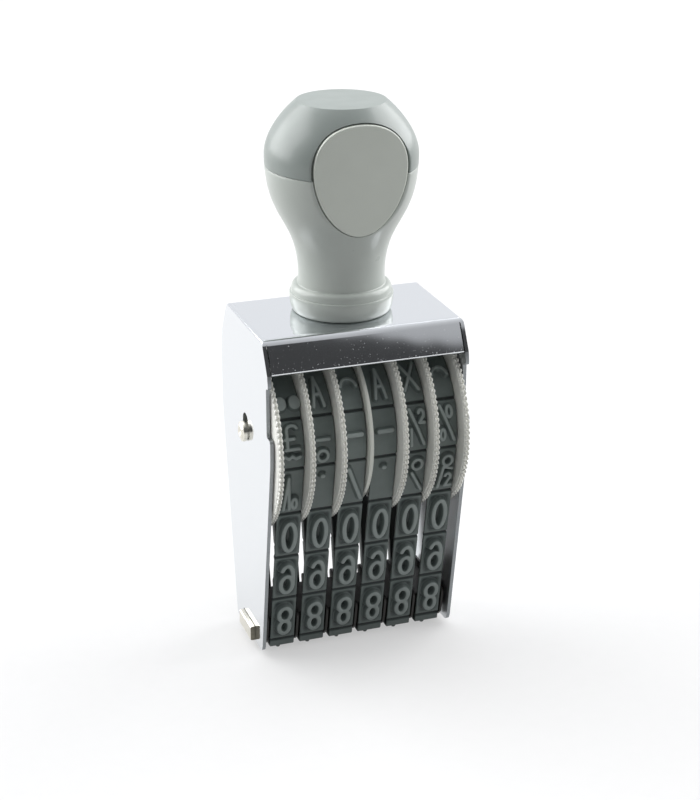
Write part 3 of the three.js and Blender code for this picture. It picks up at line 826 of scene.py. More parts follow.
@dataclass(frozen=True)
class TypeRelief:
    """The relief of one cell, above the band's line, with half a groove at either end.

    A digit stands in a dished tile and a thin sign on a smooth one. The last cell also has a plain end.
    """

    width: float
    length: float
    columns: int = 47
    rows: int = 102
    tile_rise: float = -0.5
    side_round: float = 0.14
    groove_half: float = 0.3
    groove_depth: float = 0.45
    groove_round: float = 0.12
    border: float = 0.2
    plain_end: float = 0.0
    dish_depth: float = 0.36
    dish_ease: float = 1.0
    dish_corner: float = 1.1
    type_rise: float = 0.5
    flank_run: float = 0.56
    flank_depth: float = 1.5
    top_round: float = 0.1
    lift: float = 0.05
    digit_half_width: float = 1.23
    digit_half_height: float = 3.2
    digit_stroke_half: float = 0.38
    sign_half_width: float = 1.75
    sign_half_height: float = 3.9
    sign_stroke_half: float = 0.26

    def across(self) -> np.ndarray:
        """The places of the columns across the band."""
        reach = self.width / 2 - self.side_round
        return np.array([-self.width / 2, *np.linspace(-reach, reach, self.columns - 2), self.width / 2])

    def along(self) -> np.ndarray:
        """The places of the rows along the cell, measured from its middle."""
        return (np.arange(self.rows) / self.rows - 0.5) * self.length

    def heights(self, name: str) -> np.ndarray:
        """The height of each point of the cell above the band's line.

        Args:
            name: what stands in the cell.

        Returns:
            One row for each place along the cell.
        """
        x, y = np.meshgrid(self.across(), self.along())
        if name in DIGITS:
            # Up the digit is back along the band, so that it prints the right way round
            character, ups = DIGITS[name], self.lift - y
            scale = np.array([self.digit_half_width, self.digit_half_height])
            stroke_half = self.digit_stroke_half
        else:
            character, ups = SIGNS[name], y
            scale = np.array([self.sign_half_width, self.sign_half_height])
            stroke_half = self.sign_stroke_half * character.weight
        lines = [np.array(points) * scale for points in (*character.strokes, *character.loops)]
        away = np.min([distance_to(x, ups, points) for points in lines], axis=0) - stroke_half
        return np.maximum(self.flank(away), self.tile(x, y, dished=name in DIGITS))

    def flank(self, away: np.ndarray) -> np.ndarray:
        """The height round a stroke: a flat top with an eased edge, then a steep straight flank.

        Args:
            away: the distance from the edge of the stroke's top.

        Returns:
            The height there.
        """
        over_edge = np.maximum(away + self.top_round, 0) ** 2 / (4 * self.top_round)
        eased = np.where(away < self.top_round, over_edge, away)
        return self.type_rise - self.flank_depth * eased / self.flank_run

    def tile(self, x: np.ndarray, y: np.ndarray, dished: bool) -> np.ndarray:
        """The height of the tile with the grooves at its ends.

        Args:
            x: the places across.
            y: the places along.
            dished: whether its field sinks towards the middle.

        Returns:
            The height there.
        """
        half_length = (self.length - self.plain_end) / 2
        field_half = np.array([self.width / 2, half_length - self.groove_half]) - self.border
        from_middle = np.stack([np.abs(x), np.abs(y + self.plain_end / 2)], axis=-1)
        reach = from_middle - (field_half - self.dish_corner)
        outside = np.linalg.norm(np.maximum(reach, 0), axis=-1) + np.minimum(reach.max(axis=-1), 0)
        dish = self.dish_depth * ease((self.dish_corner - outside) / self.dish_ease) if dished else 0.0
        to_groove = self.length / 2 - np.abs(y)
        groove = 1 - ease((to_groove - self.groove_half / 2) / (self.groove_half / 2 + self.groove_round))
        edge = np.where(np.abs(x) > self.width / 2 - self.side_round / 2, self.side_round, 0.0)
        return self.tile_rise - dish - self.groove_depth * groove - edge


def ease(share: np.ndarray) -> np.ndarray:
    """A smooth step from 0 to 1 as the share goes from 0 to 1."""
    clipped = np.clip(share, 0, 1)
    return clipped * clipped * (3 - 2 * clipped)


def distance_to(x: np.ndarray, y: np.ndarray, points: np.ndarray) -> np.ndarray:
    """The distance of each place from a line of points.

    Args:
        x: the places across.
        y: the places up.
        points: the line's points, one row each.

    Returns:
        The distances.
    """
    place = np.stack([x, y], axis=-1)[..., None, :]
    start, run = points[:-1], np.diff(points, axis=0)
    share = np.clip(((place - start) * run).sum(-1) / (run * run).sum(-1), 0, 1)
    return np.linalg.norm(place - start - share[..., None] * run, axis=-1).min(-1)


# Sub-assemblies


@dataclass
class NumberBands:
    """The rubber bands, each a loop of fifteen cells over its wheel's hub and the platen."""

    count: int = 6
    cells: int = 15
    thickness: float = 1.7
    corner_thickness: float = 0.95
    corner_fade: float = 1.6
    hub_radius: float = 13.8
    on_hub: float = 0.1
    flat_half: float = 6.835
    corner_radius: float = 0.8
    type_height: float = 0.5
    front_cells: int = 9
    front_cell: float = 10.2
    first_groove: float = 1.45
    foot_plain: float = 2.0
    foot_lift: float = -1.35
    tile_overhang: float = 0.1
    side_draft: float = 0.3
    inner_round: float = 0.12
    line_step: float = 0.1

    def line(self) -> np.ndarray:
        """The band's closed line in y and z, from the foot of the front run up over the wheel.

        Returns:
            Its points, closely spaced.
        """
        axle_height = sum(box_mm("wheel_axle")[k].z for k in (0, 1)) / 2
        corner_height = self.type_height + self.corner_radius
        arc_radius = self.hub_radius + self.on_hub + self.thickness
        rise = axle_height - corner_height
        span = math.hypot(rise, self.flat_half)
        tilt = math.acos((arc_radius - self.corner_radius) / span) - math.atan2(rise, self.flat_half)
        arcs = [
            (0.0, axle_height, arc_radius, math.pi - tilt, tilt),
            (self.flat_half, corner_height, self.corner_radius, tilt, -math.pi / 2),
            (-self.flat_half, corner_height, self.corner_radius, -math.pi / 2, -math.pi - tilt),
        ]
        points: list[np.ndarray] = []
        for middle, height, radius, start, end in arcs:
            steps = math.ceil(radius * abs(end - start) / self.line_step)
            turns = np.linspace(start, end, steps + 1)
            arc = [middle + radius * np.cos(turns), height + radius * np.sin(turns)]
            points.append(np.stack(arc, axis=1))
        # The foot of the front run comes first, and the straight runs join the arcs
        return np.vstack([points[2][-1:], *points[:2], points[2][:-1]])

    def floor_at(self, place: float, total: float) -> float:
        """How deep the band's inner face lies, which is less where the band bends round the platen.

        Args:
            place: how far along the line, from the foot of the front run.
            total: the length of the line.

        Returns:
            The depth below the line.
        """
        bend = self.corner_radius * math.pi / 2
        middles = (-bend / 2, -bend - 2 * self.flat_half - bend / 2)
        ways = [abs((place - middle + total / 2) % total - total / 2) for middle in middles]
        share = float(ease(np.array((min(ways) - bend / 2) / self.corner_fade)))
        return self.corner_thickness + (self.thickness - self.corner_thickness) * share

    def cell_lengths(self, total: float) -> list[float]:
        """The length of each cell in order from the first groove.

        Args:
            total: the length of the line.

        Returns:
            The lengths. Those up the front and the last, under the platen, are alike. The rest share what is
            left.
        """
        rear_cells = self.cells - self.front_cells - 1
        rear = (total - (self.front_cells + 1) * self.front_cell) / rear_cells
        return [self.front_cell] * self.front_cells + [rear] * rear_cells + [self.front_cell]

    def path(self) -> bpy.types.Object:
        """Makes the band's line an object that the tree can read.

        Returns:
            The object, of edges alone.
        """
        line = self.line()
        mesh = bpy.data.meshes.new("band_line")
        corners = np.column_stack([np.zeros(len(line)), line]) * MM
        count = len(line)
        mesh.from_pydata(corners, [(k, (k + 1) % count) for k in range(count)], [])
        return in_scene("band_line", mesh)

    def tree(self) -> bpy.types.NodeTree:
        """Builds the tree that lays a flat strip of cells along the band's line.

        Returns:
            The tree. It takes a corner's x as its place across the band, its y as its place along the line,
            and its z as its rise.
        """
        tree, given = new_geometry_tree("strip_on_band_line", {
            "Path": "NodeSocketObject", "Middle": "NodeSocketFloat", "Material": "NodeSocketMaterial"})
        path = add_node(tree, "GeometryNodeObjectInfo", {"Object": given.outputs["Path"]})
        curve = add_node(tree, "GeometryNodeMeshToCurve", {"Mesh": path.outputs["Geometry"]})
        flat = add_node(tree, "ShaderNodeSeparateXYZ", {
            "Vector": add_node(tree, "GeometryNodeInputPosition").outputs["Position"]})
        on_line = add_node(tree, "GeometryNodeSampleCurve", {
            "Curves": curve.outputs["Curve"], "Length": flat.outputs["Y"]}, mode="LENGTH")
        outward = add_node(tree, "ShaderNodeVectorMath", {
            0: (1.0, 0.0, 0.0), 1: on_line.outputs["Tangent"]}, operation="CROSS_PRODUCT")
        risen = add_node(tree, "ShaderNodeVectorMath", {
            0: outward.outputs["Vector"], "Scale": flat.outputs["Z"]}, operation="SCALE")
        across = add_node(tree, "ShaderNodeMath", {0: flat.outputs["X"], 1: given.outputs["Middle"]})
        aside = add_node(tree, "ShaderNodeCombineXYZ", {"X": across.outputs["Value"]})
        placed = add_node(tree, "ShaderNodeVectorMath", {
            0: on_line.outputs["Position"], 1: risen.outputs["Vector"]})
        final = add_node(tree, "ShaderNodeVectorMath", {
            0: placed.outputs["Vector"], 1: aside.outputs["Vector"]})
        noted = add_node(tree, "GeometryNodeStoreNamedAttribute", {
            "Geometry": given.outputs["Geometry"], "Name": RISE, "Value": flat.outputs["Z"]},
            data_type="FLOAT", domain="POINT")
        laid = add_node(tree, "GeometryNodeSetPosition", {
            "Geometry": noted.outputs["Geometry"], "Position": final.outputs["Vector"]})
        end_tree(tree, laid.outputs["Geometry"], given.outputs["Material"])
        return tree

    def strip(self, name: str, relief: TypeRelief, characters: Sequence[str],
              total: float) -> bpy.types.Object:
        """Makes the flat strip of one band, closed in section and joined end to end.

        Args:
            name: the band's name.
            relief: the relief of a cell.
            characters: what stands in the cells, in order along the line.
            total: the length of the line.

        Returns:
            The strip, with its length along y and its rise along z.
        """
        across = relief.across()
        side = relief.width / 2 - self.side_draft
        start = self.first_groove
        sections = []
        for length, character in zip(self.cell_lengths(total), characters):
            cell = replace(relief, length=length)
            if start + length > total:
                # The cell under the platen ends in a plain strip at the foot of the front run
                cell = replace(cell, plain_end=self.foot_plain, lift=self.foot_lift)
            for place, row in zip(start + length / 2 + cell.along(), cell.heights(character)):
                floor = -self.floor_at(place, total)
                under = [(side, floor + self.inner_round), (side - self.inner_round, floor),
                         (self.inner_round - side, floor), (-side, floor + self.inner_round)]
                section = [*zip(across, row), *under]
                sections.append([(u, place % total, rise) for u, rise in section])
            start += length
        corners = np.array(sections)
        stations, size = corners.shape[:2]
        numbers = np.arange(stations * size).reshape(stations, size)
        ahead, beside = np.roll(numbers, -1, axis=0), np.roll(numbers, -1, axis=1)
        faces = np.stack([numbers, beside, np.roll(ahead, -1, axis=1), ahead], axis=-1).reshape(-1, 4)
        mesh = bpy.data.meshes.new(name)
        mesh.from_pydata(corners.reshape(-1, 3) * MM, [], faces.tolist())
        return in_scene(name, mesh)

    def characters(self, number: int) -> tuple[str, ...]:
        """What stands in the cells of a band, from the first groove up the front."""
        return (*DIGITS_BEFORE_SIGNS, *BAND_SIGNS[number - 1], *DIGITS_AFTER_SIGNS)

    def build(self, material: bpy.types.Material) -> None:
        """Builds every band.

        Args:
            material: the rubber.
        """
        path = self.path()
        tree = self.tree()
        line = self.line()
        total = float(np.linalg.norm(np.diff(line, axis=0, append=line[:1]), axis=1).sum())
        for number in range(1, self.count + 1):
            node = f"number_band_{number}"
            low, high = box_mm(node)
            relief = TypeRelief(width=high.x - low.x + 2 * self.tile_overhang, length=self.front_cell)
            piece = self.strip(f"type_band_{number}", relief, self.characters(number), total)
            middle = (low.x + high.x) / 2
            run_tree(piece, tree, {"Path": path, "Middle": middle * MM, "Material": material})
            piece.data.shade_smooth()
            finish_piece(piece, "housing", [node])
        bpy.data.objects.remove(path)


@dataclass
class ThumbWheels:
    """The thumb wheels, each a hub and a flange whose rim carries two rows of moulded beads."""

    count: int = 6
    flange_thickness: float = 1.0
    hub_radius: float = 13.8
    bore_radius: float = 1.8
    teeth: int = 106
    bead_width: float = 0.44
    bead_height: float = 0.9
    bead_length_share: float = 0.78
    bead_stand: float = 0.26
    bead_segments: int = 8
    bead_rings: int = 6
    pit_share: float = 0.95
    pit_margin: float = 0.05
    rim_round: float = 0.15
    segments: int = 144

    def tree(self) -> bpy.types.NodeTree:
        """Builds the tree that sets two rows of beads round a rim.

        Returns:
            The tree.
        """
        tree, given = new_geometry_tree("beads_round_rim", {
            "Teeth": "NodeSocketInt", "Ring Radius": "NodeSocketFloat", "Bead Size": "NodeSocketVector",
            "Near Row": "NodeSocketFloat", "Far Row": "NodeSocketFloat", "Material": "NodeSocketMaterial"})
        circle = add_node(tree, "GeometryNodeMeshCircle", {
            "Vertices": given.outputs["Teeth"], "Radius": given.outputs["Ring Radius"]})
        upright = add_node(tree, "GeometryNodeTransform", {
            "Geometry": circle.outputs["Mesh"], "Rotation": (0.0, math.pi / 2, 0.0)})
        # A ball of diameter 1, which the bead's size then stretches
        bead = add_node(tree, "GeometryNodeMeshUVSphere", {
            "Segments": self.bead_segments, "Rings": self.bead_rings, "Radius": 0.5})
        facing = add_node(tree, "FunctionNodeAlignRotationToVector", {
            "Vector": add_node(tree, "GeometryNodeInputPosition").outputs["Position"]},
            axis="Z", pivot_axis="X")
        beads = add_node(tree, "GeometryNodeInstanceOnPoints", {
            "Points": upright.outputs["Geometry"], "Instance": bead.outputs["Mesh"],
            "Rotation": facing.outputs["Rotation"], "Scale": given.outputs["Bead Size"]})
        rows = []
        for row in ("Near Row", "Far Row"):
            aside = add_node(tree, "ShaderNodeCombineXYZ", {"X": given.outputs[row]})
            moved = add_node(tree, "GeometryNodeTransform", {
                "Geometry": beads.outputs["Instances"], "Translation": aside.outputs["Vector"]})
            rows.append(moved.outputs["Geometry"])
        joined = add_node(tree, "GeometryNodeJoinGeometry", {
            "Geometry": [given.outputs["Geometry"], *rows]})
        end_tree(tree, joined.outputs["Geometry"], given.outputs["Material"])
        return tree

    def shade_pits(self, piece: bpy.types.Object, floor_radius: float, pit_shade: bpy.types.Material) -> None:
        """Gives the floor of the pits between the beads a darker finish of its own, as painted shade.

        Args:
            piece: the wheel, its axle on the x axis.
            floor_radius: the radius of the rim under the beads.
            pit_shade: the darker finish, which paints the shade in the pits.
        """
        piece.data.materials.append(pit_shade)
        for face in piece.data.polygons:
            away = math.hypot(face.center.y, face.center.z)
            outward = (face.normal.y * face.center.y + face.normal.z * face.center.z) / away
            if outward > self.pit_share and abs(away / MM - floor_radius) < self.pit_margin:
                # Painted shade: the floor of each pit takes the darker ivory
                face.material_index = 1

    def build(self, material: bpy.types.Material, pit_shade: bpy.types.Material) -> None:
        """Builds every wheel.

        Args:
            material: the ivory plastic.
            pit_shade: the same plastic, darker, which paints the shade between the beads.
        """
        tree = self.tree()
        for number in range(1, self.count + 1):
            node = f"thumb_wheel_{number}"
            low, high = box_mm(node)
            axle_height = (low.z + high.z) / 2
            radius = (high.z - low.z) / 2
            side = math.copysign(1, low.x + high.x)
            outer = high.x if side > 0 else low.x
            inner = low.x if side > 0 else high.x
            flange = outer - side * self.flange_thickness
            rim = radius - self.bead_height / 2
            under = rim - self.bead_stand
            ease_in = side * self.rim_round
            profile = [
                (self.bore_radius, inner), (self.hub_radius - self.rim_round, inner),
                (self.hub_radius, inner + ease_in), (self.hub_radius, flange),
                (under - self.rim_round, flange), (under, flange + ease_in),
                (under, outer - ease_in), (under - self.rim_round, outer), (self.bore_radius, outer)]
            piece = revolve(f"beaded_wheel_{number}", profile, Axis.X, all_round(self.segments))
            smooth(piece)
            pitch = 2 * math.pi * rim / self.teeth
            middle = (flange + outer) / 2
            row_offset = (self.flange_thickness - self.bead_width) / 2
            bead_size = (self.bead_width, pitch * self.bead_length_share, self.bead_height)
            run_tree(piece, tree, {
                "Teeth": self.teeth, "Ring Radius": rim * MM, "Bead Size": [size * MM for size in bead_size],
                "Near Row": (middle - row_offset) * MM, "Far Row": (middle + row_offset) * MM,
                "Material": material})
            self.shade_pits(piece, under, pit_shade)
            move(piece, z=axle_height)
            finish_piece(piece, f"wheel_{number}", [node])


@dataclass
class CentreDisc:
    """The smooth disc between the two middle bands, with two faint lines round its rim."""

    bore_radius: float = 1.8
    rim_round: float = 0.2
    side_clearance: float = 0.1
    line_place: float = 0.14
    line_half: float = 0.06
    line_depth: float = 0.07
    round_steps: int = 5
    segments: int = 160

    def build(self, material: bpy.types.Material) -> None:
        """Builds the disc.

        Args:
            material: its plastic.
        """
        low, high = box_mm("centre_disc")
        radius = (high.z - low.z) / 2
        half = (high.x - low.x) / 2 - self.side_clearance
        rim = Outline((self.bore_radius, -half), self.round_steps)
        rim.line((radius - self.rim_round, -half))
        rim.curve((radius, -half), (radius, self.rim_round - half))
        for place in (-self.line_place, self.line_place):
            rim.line((radius, place - self.line_half), (radius - self.line_depth, place),
                     (radius, place + self.line_half))
        rim.line((radius, half - self.rim_round))
        rim.curve((radius, half), (radius - self.rim_round, half))
        rim.line((self.bore_radius, half))
        piece = revolve("smooth_disc", rim.points, Axis.X, all_round(self.segments))
        move(piece, z=(low.z + high.z) / 2)
        smooth(piece, angle=50)
        finish_piece(piece, "housing", ["centre_disc"], material)


@dataclass
class Housing:
    """The housing, folded from one chromed sheet: two tapered side plates, a top and two slanted aprons."""

    sheet: float = 0.7
    axle_above_feet: float = 44.2
    foot_half: float = 8.6
    foot_corner: float = 1.0
    belly_below_axle: float = 0.4
    belly_half: float = 16.0
    belly_ease: float = 2.0
    shoulder_half: float = 11.6
    apron_flare: float = 3.2
    apron_drop: float = 5.9
    apron_slit: float = 0.25
    lip_flare: float = 0.3
    lip_round: float = 0.4
    fold_radius: float = 1.2
    notch_depth: float = 2.1
    notch_above_axle: float = 3.4
    notch_below_apron: float = 1.8
    notch_ease: float = 1.6
    slot_travel: float = 1.9
    slot_radius: float = 1.8
    tenon_notch_half: float = 4.1
    tenon_height: float = 3.1
    tenon_gap: float = 0.2
    screw_hole_radius: float = 2.2
    edge_round: float = 0.14
    edge_share: float = 0.5
    fold_steps: int = 8
    slot_steps: int = 16
    hole_segments: int = 32
    overrun: float = 2.0

    def plate_outline(self, feet: float, top: float) -> list[Point]:
        """The outline of a side plate in y and z, from its rear foot over the top to its front foot.

        Args:
            feet: the height of its feet.
            top: the height of its top.

        Returns:
            The outline's points.
        """
        height = top - feet
        belly_height = self.axle_above_feet - self.belly_below_axle
        taper = Vector((self.belly_half - self.foot_half, belly_height)).normalized() * self.belly_ease
        shoulder_run = Vector((self.apron_flare, -self.apron_drop)).normalized() * self.fold_radius
        flare_half = self.shoulder_half + self.apron_flare
        flare_height = height - self.apron_drop
        lip_half = flare_half + self.lip_flare
        low = self.axle_above_feet + self.notch_above_axle
        high = flare_height - self.notch_below_apron
        floor = self.notch_depth - self.belly_half
        belly, foot, shoulder = self.belly_half, self.foot_half, self.shoulder_half
        pen = Outline((foot - self.foot_corner, 0))
        pen.curve((foot, 0), (foot + taper.x, taper.y))
        pen.line((belly - taper.x, belly_height - taper.y))
        pen.curve((belly, belly_height), (belly, belly_height + self.belly_ease))
        pen.curve((belly, high), (flare_half, flare_height))
        pen.line((shoulder + shoulder_run.x, height + shoulder_run.y))
        pen.curve((shoulder, height), (shoulder - self.fold_radius, height))
        pen.line((self.fold_radius - shoulder, height))
        pen.curve((-shoulder, height), (-shoulder - shoulder_run.x, height + shoulder_run.y))
        pen.line((-flare_half, flare_height), (-lip_half, high))
        pen.curve((-lip_half, high - self.notch_ease), (floor, high), (floor, high - self.notch_ease))
        pen.line((floor, low + self.notch_ease))
        pen.curve((floor, low), (-belly, low + self.notch_ease), (-belly, low))
        pen.line((-belly, belly_height + self.belly_ease))
        pen.curve((-belly, belly_height), (taper.x - belly, belly_height - taper.y))
        pen.line((-foot - taper.x, taper.y))
        pen.curve((-foot, 0), (self.foot_corner - foot, 0))
        return [(y, feet + z) for y, z in pen.points]

    def folded_section(self, feet: float, top: float, half: float) -> list[Point]:
        """The folded section in x and z: two side plates and the top.

        Args:
            feet: the height of the feet.
            top: the height of the top.
            half: half of the width over the side plates.

        Returns:
            The outline's points.
        """
        inner = half - self.sheet
        inner_fold = self.fold_radius - self.sheet
        inner_top = top - self.sheet
        bottom = feet - self.overrun
        pen = Outline((-half, bottom), self.fold_steps)
        pen.line((-inner, bottom), (-inner, inner_top - inner_fold))
        pen.curve((-inner, inner_top), (inner_fold - inner, inner_top))
        pen.line((inner - inner_fold, inner_top))
        pen.curve((inner, inner_top), (inner, inner_top - inner_fold))
        pen.line((inner, bottom), (half, bottom), (half, top - self.fold_radius))
        pen.curve((half, top), (half - self.fold_radius, top))
        pen.line((self.fold_radius - half, top))
        pen.curve((-half, top), (-half, top - self.fold_radius))
        return pen.points

    def apron(self, side: int, top: float, half: float) -> bpy.types.Object:
        """An apron folded down from a long edge of the top, clear of the side plates by a slit.

        Args:
            side: -1 at the front and 1 at the rear.
            top: the height of the top.
            half: half of its width.

        Returns:
            The apron.
        """
        along = Vector((self.apron_flare, -self.apron_drop)).normalized()
        inward = Vector((along.y, -along.x)) * self.sheet
        flare_half = self.shoulder_half + self.apron_flare
        flare_height = top - self.apron_drop
        under = flare_height + inward.y
        inner_run = (top - self.sheet - under) / -along.y
        root = self.shoulder_half - 2 * self.fold_radius
        pen = Outline((root, top), self.fold_steps)
        pen.line((self.shoulder_half - self.fold_radius, top))
        pen.curve((self.shoulder_half, top),
                  (self.shoulder_half + along.x * self.fold_radius, top + along.y * self.fold_radius))
        lip = self.lip_round
        pen.line((flare_half - along.x * lip, flare_height - along.y * lip))
        pen.curve((flare_half, flare_height),
                  (flare_half + inward.x * lip / self.sheet, flare_height + inward.y * lip / self.sheet))
        pen.line((flare_half + inward.x, under),
                 (flare_half + inward.x - along.x * inner_run, top - self.sheet), (root, top - self.sheet))
        outline = [(side * y, z) for y, z in pen.points]
        return prism("apron", outline, Axis.X, -half, half)

    def dress_edges(self, piece: bpy.types.Object, edge_material: bpy.types.Material) -> None:
        """Gives the side plates' sheared edges a finish of their own.

        Args:
            piece: the housing, whose chrome is its first material.
            edge_material: the finish of the sheared edges.
        """
        piece.data.materials.append(edge_material)
        high = box_mm("frame")[1]
        for face in piece.data.polygons:
            between_faces = abs(face.center.x) / MM > high.x - self.sheet - self.edge_round
            below_folds = face.center.z / MM < high.z - self.apron_drop
            if between_faces and below_folds and abs(face.normal.x) < self.edge_share:
                face.material_index = 1

    def axle_slot(self, feet: float) -> list[Point]:
        """The outline of the axle's slots in y and z.

        Args:
            feet: the height of the feet.

        Returns:
            The outline's points.
        """
        low, radius = feet + self.axle_above_feet, self.slot_radius
        turns = np.linspace(0, math.pi, self.slot_steps + 1)
        upper = [(radius * math.cos(t), low + self.slot_travel + radius * math.sin(t)) for t in turns]
        return upper + [(-radius * math.cos(t), low - radius * math.sin(t)) for t in turns]

    def tenon_notch(self, feet: float) -> list[Point]:
        """The outline in y and z of the notches for the platen's tenons, open at the feet.

        Args:
            feet: the height of the feet.

        Returns:
            The outline's points.
        """
        half, foot = self.tenon_notch_half, feet - self.overrun
        top = box_mm("platen")[0].z + self.tenon_height + self.tenon_gap
        return [(-half, foot), (half, foot), (half, top), (-half, top)]

    def screw_hole(self) -> list[Point]:
        """The outline in x and y of the hole for the handle's screw."""
        radius, middle = self.screw_hole_radius, handle_set_back()
        return [(radius * math.cos(t), middle + radius * math.sin(t)) for t in all_round(self.hole_segments)]

    def build(self, material: bpy.types.Material, edge_material: bpy.types.Material) -> None:
        """Builds the housing.

        Args:
            material: the chromed sheet.
            edge_material: the finish of the sheared edges.
        """
        low, high = box_mm("frame")
        feet, top, half = low.z, high.z, high.x
        reach = self.belly_half + self.overrun
        beyond = half + self.overrun
        piece = prism("folded_housing", self.folded_section(feet, top, half), Axis.Y, -reach, reach)
        combine(piece, prism("plates", self.plate_outline(feet, top), Axis.X, -beyond, beyond), Joining.MEET)
        for side in (-1, 1):
            combine(piece, self.apron(side, top, half - self.sheet - self.apron_slit), Joining.ADD)
        combine(piece, prism("axle_slot", self.axle_slot(feet), Axis.X, -beyond, beyond), Joining.CUT)
        combine(piece, prism("tenon_notches", self.tenon_notch(feet), Axis.X, -beyond, beyond), Joining.CUT)
        under, over = top - self.overrun, top + self.overrun
        combine(piece, prism("screw_hole", self.screw_hole(), Axis.Z, under, over), Joining.CUT)
        merge(piece, flat_angle=0.5)
        soften(piece, self.edge_round, angle=35)
        piece.data.materials.clear()
        piece.data.materials.append(material)
        self.dress_edges(piece, edge_material)
        finish_piece(piece, "housing", ["frame"])


@dataclass
class Handle:
    """The handle: a moulded body and a darker cap, turned in form, with a flat at the front for the badge."""

    foot_radius: float = 8.9
    bead_radius: float = 10.0
    bead_height: float = 3.5
    bead_step: float = 0.3
    bead_ease: float = 0.3
    collar_radius: float = 8.55
    collar_height: float = 5.5
    collar_edge: float = 0.12
    neck_radius: float = 8.3
    neck_height: float = 7.0
    neck_run: float = 11.5
    bulb_radius: float = 14.5
    bulb_height: float = 30.5
    bulb_run: float = 12.8
    crown_run: float = 3.9
    crown_width: float = 2.45
    crown_drop: float = 2.0
    disc_radius: float = 8.45
    height: float = 40.6
    seam_height: float = 28.5
    seam_round: float = 0.26
    seam_slope: float = 0.02
    spigot_radius: float = 8.4
    spigot_height: float = 3.0
    spigot_clearance: float = 0.3
    pilot_radius: float = 2.2
    pilot_depth: float = 14.3
    flat_depth: float = 10.8
    flat_ease: float = 0.22
    recess: float = 1.0
    cap_gap: float = 0.25
    cap_flare: float = 0.4
    body_gap: float = 0.12
    body_flare: float = 0.15
    badge_proud: float = 0.35
    badge_edge: float = 0.3
    badge_half_width: float = 9.1
    badge_widest: float = 30.0
    badge_top: float = 38.2
    badge_foot: float = 17.3
    badge_round_share: float = 0.62
    badge_taper_share: float = 0.5
    mouth_levels: tuple[float, ...] = (0.25, 0.5, 0.75, 1.0)
    badge_levels: tuple[float, ...] = (0.3, 0.6, 0.9)
    tool_stand_out: float = 1.0
    foot_steps: int = 10
    bulb_steps: int = 70
    seam_steps: int = 4
    badge_steps: int = 28
    front_half_angle: float = 60.0
    front_angle_step: float = 0.8
    rear_angle_step: float = 3.0

    def outer_profile(self) -> list[Point]:
        """The outer profile from the foot to the top disc, as radius and height.

        Returns:
            The profile's points.
        """
        step, ease_in, collar_edge = self.bead_step, self.bead_ease, self.collar_edge
        pen = Outline((self.foot_radius, 0.0), self.foot_steps)
        pen.curve((self.bead_radius, 0.0), (self.bead_radius, self.bead_height))
        pen.line((self.bead_radius - step * ease_in, self.bead_height + step * (1 - ease_in)),
                 (self.bead_radius - step, self.bead_height + step))
        pen.curve((self.bead_radius - step, self.collar_height), (self.collar_radius, self.collar_height))
        pen.line((self.collar_radius - collar_edge, self.collar_height + collar_edge),
                 (self.neck_radius, self.neck_height))
        pen.steps = self.bulb_steps
        pen.curve((self.neck_radius, self.neck_height + self.neck_run),
                  (self.bulb_radius, self.bulb_height - self.bulb_run), (self.bulb_radius, self.bulb_height))
        pen.curve((self.bulb_radius, self.bulb_height + self.crown_run),
                  (self.disc_radius + self.crown_width, self.height - self.crown_drop),
                  (self.disc_radius, self.height))
        return pen.points

    def body_profile(self) -> list[Point]:
        """The closed profile of the body, with its pilot hole, spigot and eased upper edge.

        Returns:
            The profile's points, from the pilot hole's floor round the outside to the spigot's top.
        """
        seam, round_run = self.seam_height, self.seam_round
        outer = [p for p in self.outer_profile() if p[1] < seam - round_run]
        edge = self.radius_at(seam)
        upper_edge = [(edge - self.seam_slope, seam - round_run), (edge, seam), (edge - round_run, seam)]
        spigot_top = seam + self.spigot_height
        return [
            (0.0, self.pilot_depth), (self.pilot_radius, self.pilot_depth), (self.pilot_radius, 0.0), *outer,
            *curve_points(upper_edge, self.seam_steps), (self.spigot_radius, seam),
            (self.spigot_radius, spigot_top), (0.0, spigot_top)]

    def cap_profile(self) -> list[Point]:
        """The closed profile of the cap, with its socket and eased lower edge.

        Returns:
            The profile's points, from the socket's top round the outside to the crown's middle.
        """
        seam, round_run = self.seam_height, self.seam_round
        outer = [p for p in self.outer_profile() if p[1] > seam + round_run]
        edge = self.radius_at(seam)
        lower_edge = [(edge - round_run, seam), (edge, seam), (edge + self.seam_slope, seam + round_run)]
        socket_radius = self.spigot_radius + self.spigot_clearance
        socket_top = seam + self.spigot_height + self.spigot_clearance
        return [
            (0.0, socket_top), (socket_radius, socket_top), (socket_radius, seam), lower_edge[0],
            *curve_points(lower_edge, self.seam_steps), *outer, (0.0, self.height)]

    def radius_at(self, height: float) -> float:
        """The outer radius at a height of the bulb."""
        points = np.array([p for p in self.outer_profile() if self.neck_height <= p[1] < self.height])
        return float(np.interp(height, points[:, 1], points[:, 0]))

    def angles(self) -> np.ndarray:
        """The turned sections, closely spaced at the front, where the flat is.

        Returns:
            Their angles from the front, in radians.
        """
        half = self.front_half_angle
        front = np.arange(-half, half, self.front_angle_step)
        rear = np.arange(half, 360 - half, self.rear_angle_step)
        return np.concatenate([np.radians(front), np.radians(rear)])

    def flatten_front(self, piece: bpy.types.Object) -> None:
        """Flattens the front of a turned piece to the flat, with an eased edge.

        Args:
            piece: the piece.
        """
        mesh = piece.data
        places = np.zeros(len(mesh.vertices) * 3)
        mesh.vertices.foreach_get("co", places)
        places = places.reshape(-1, 3)
        depth = -places[:, 1] / MM
        mix = np.clip(0.5 + 0.5 * (self.flat_depth - depth) / self.flat_ease, 0, 1)
        eased = self.flat_depth * (1 - mix) + depth * mix - self.flat_ease * mix * (1 - mix)
        places[:, 1] = -np.where(depth > 0, eased, depth) * MM
        mesh.vertices.foreach_set("co", places.ravel())
        mesh.update()

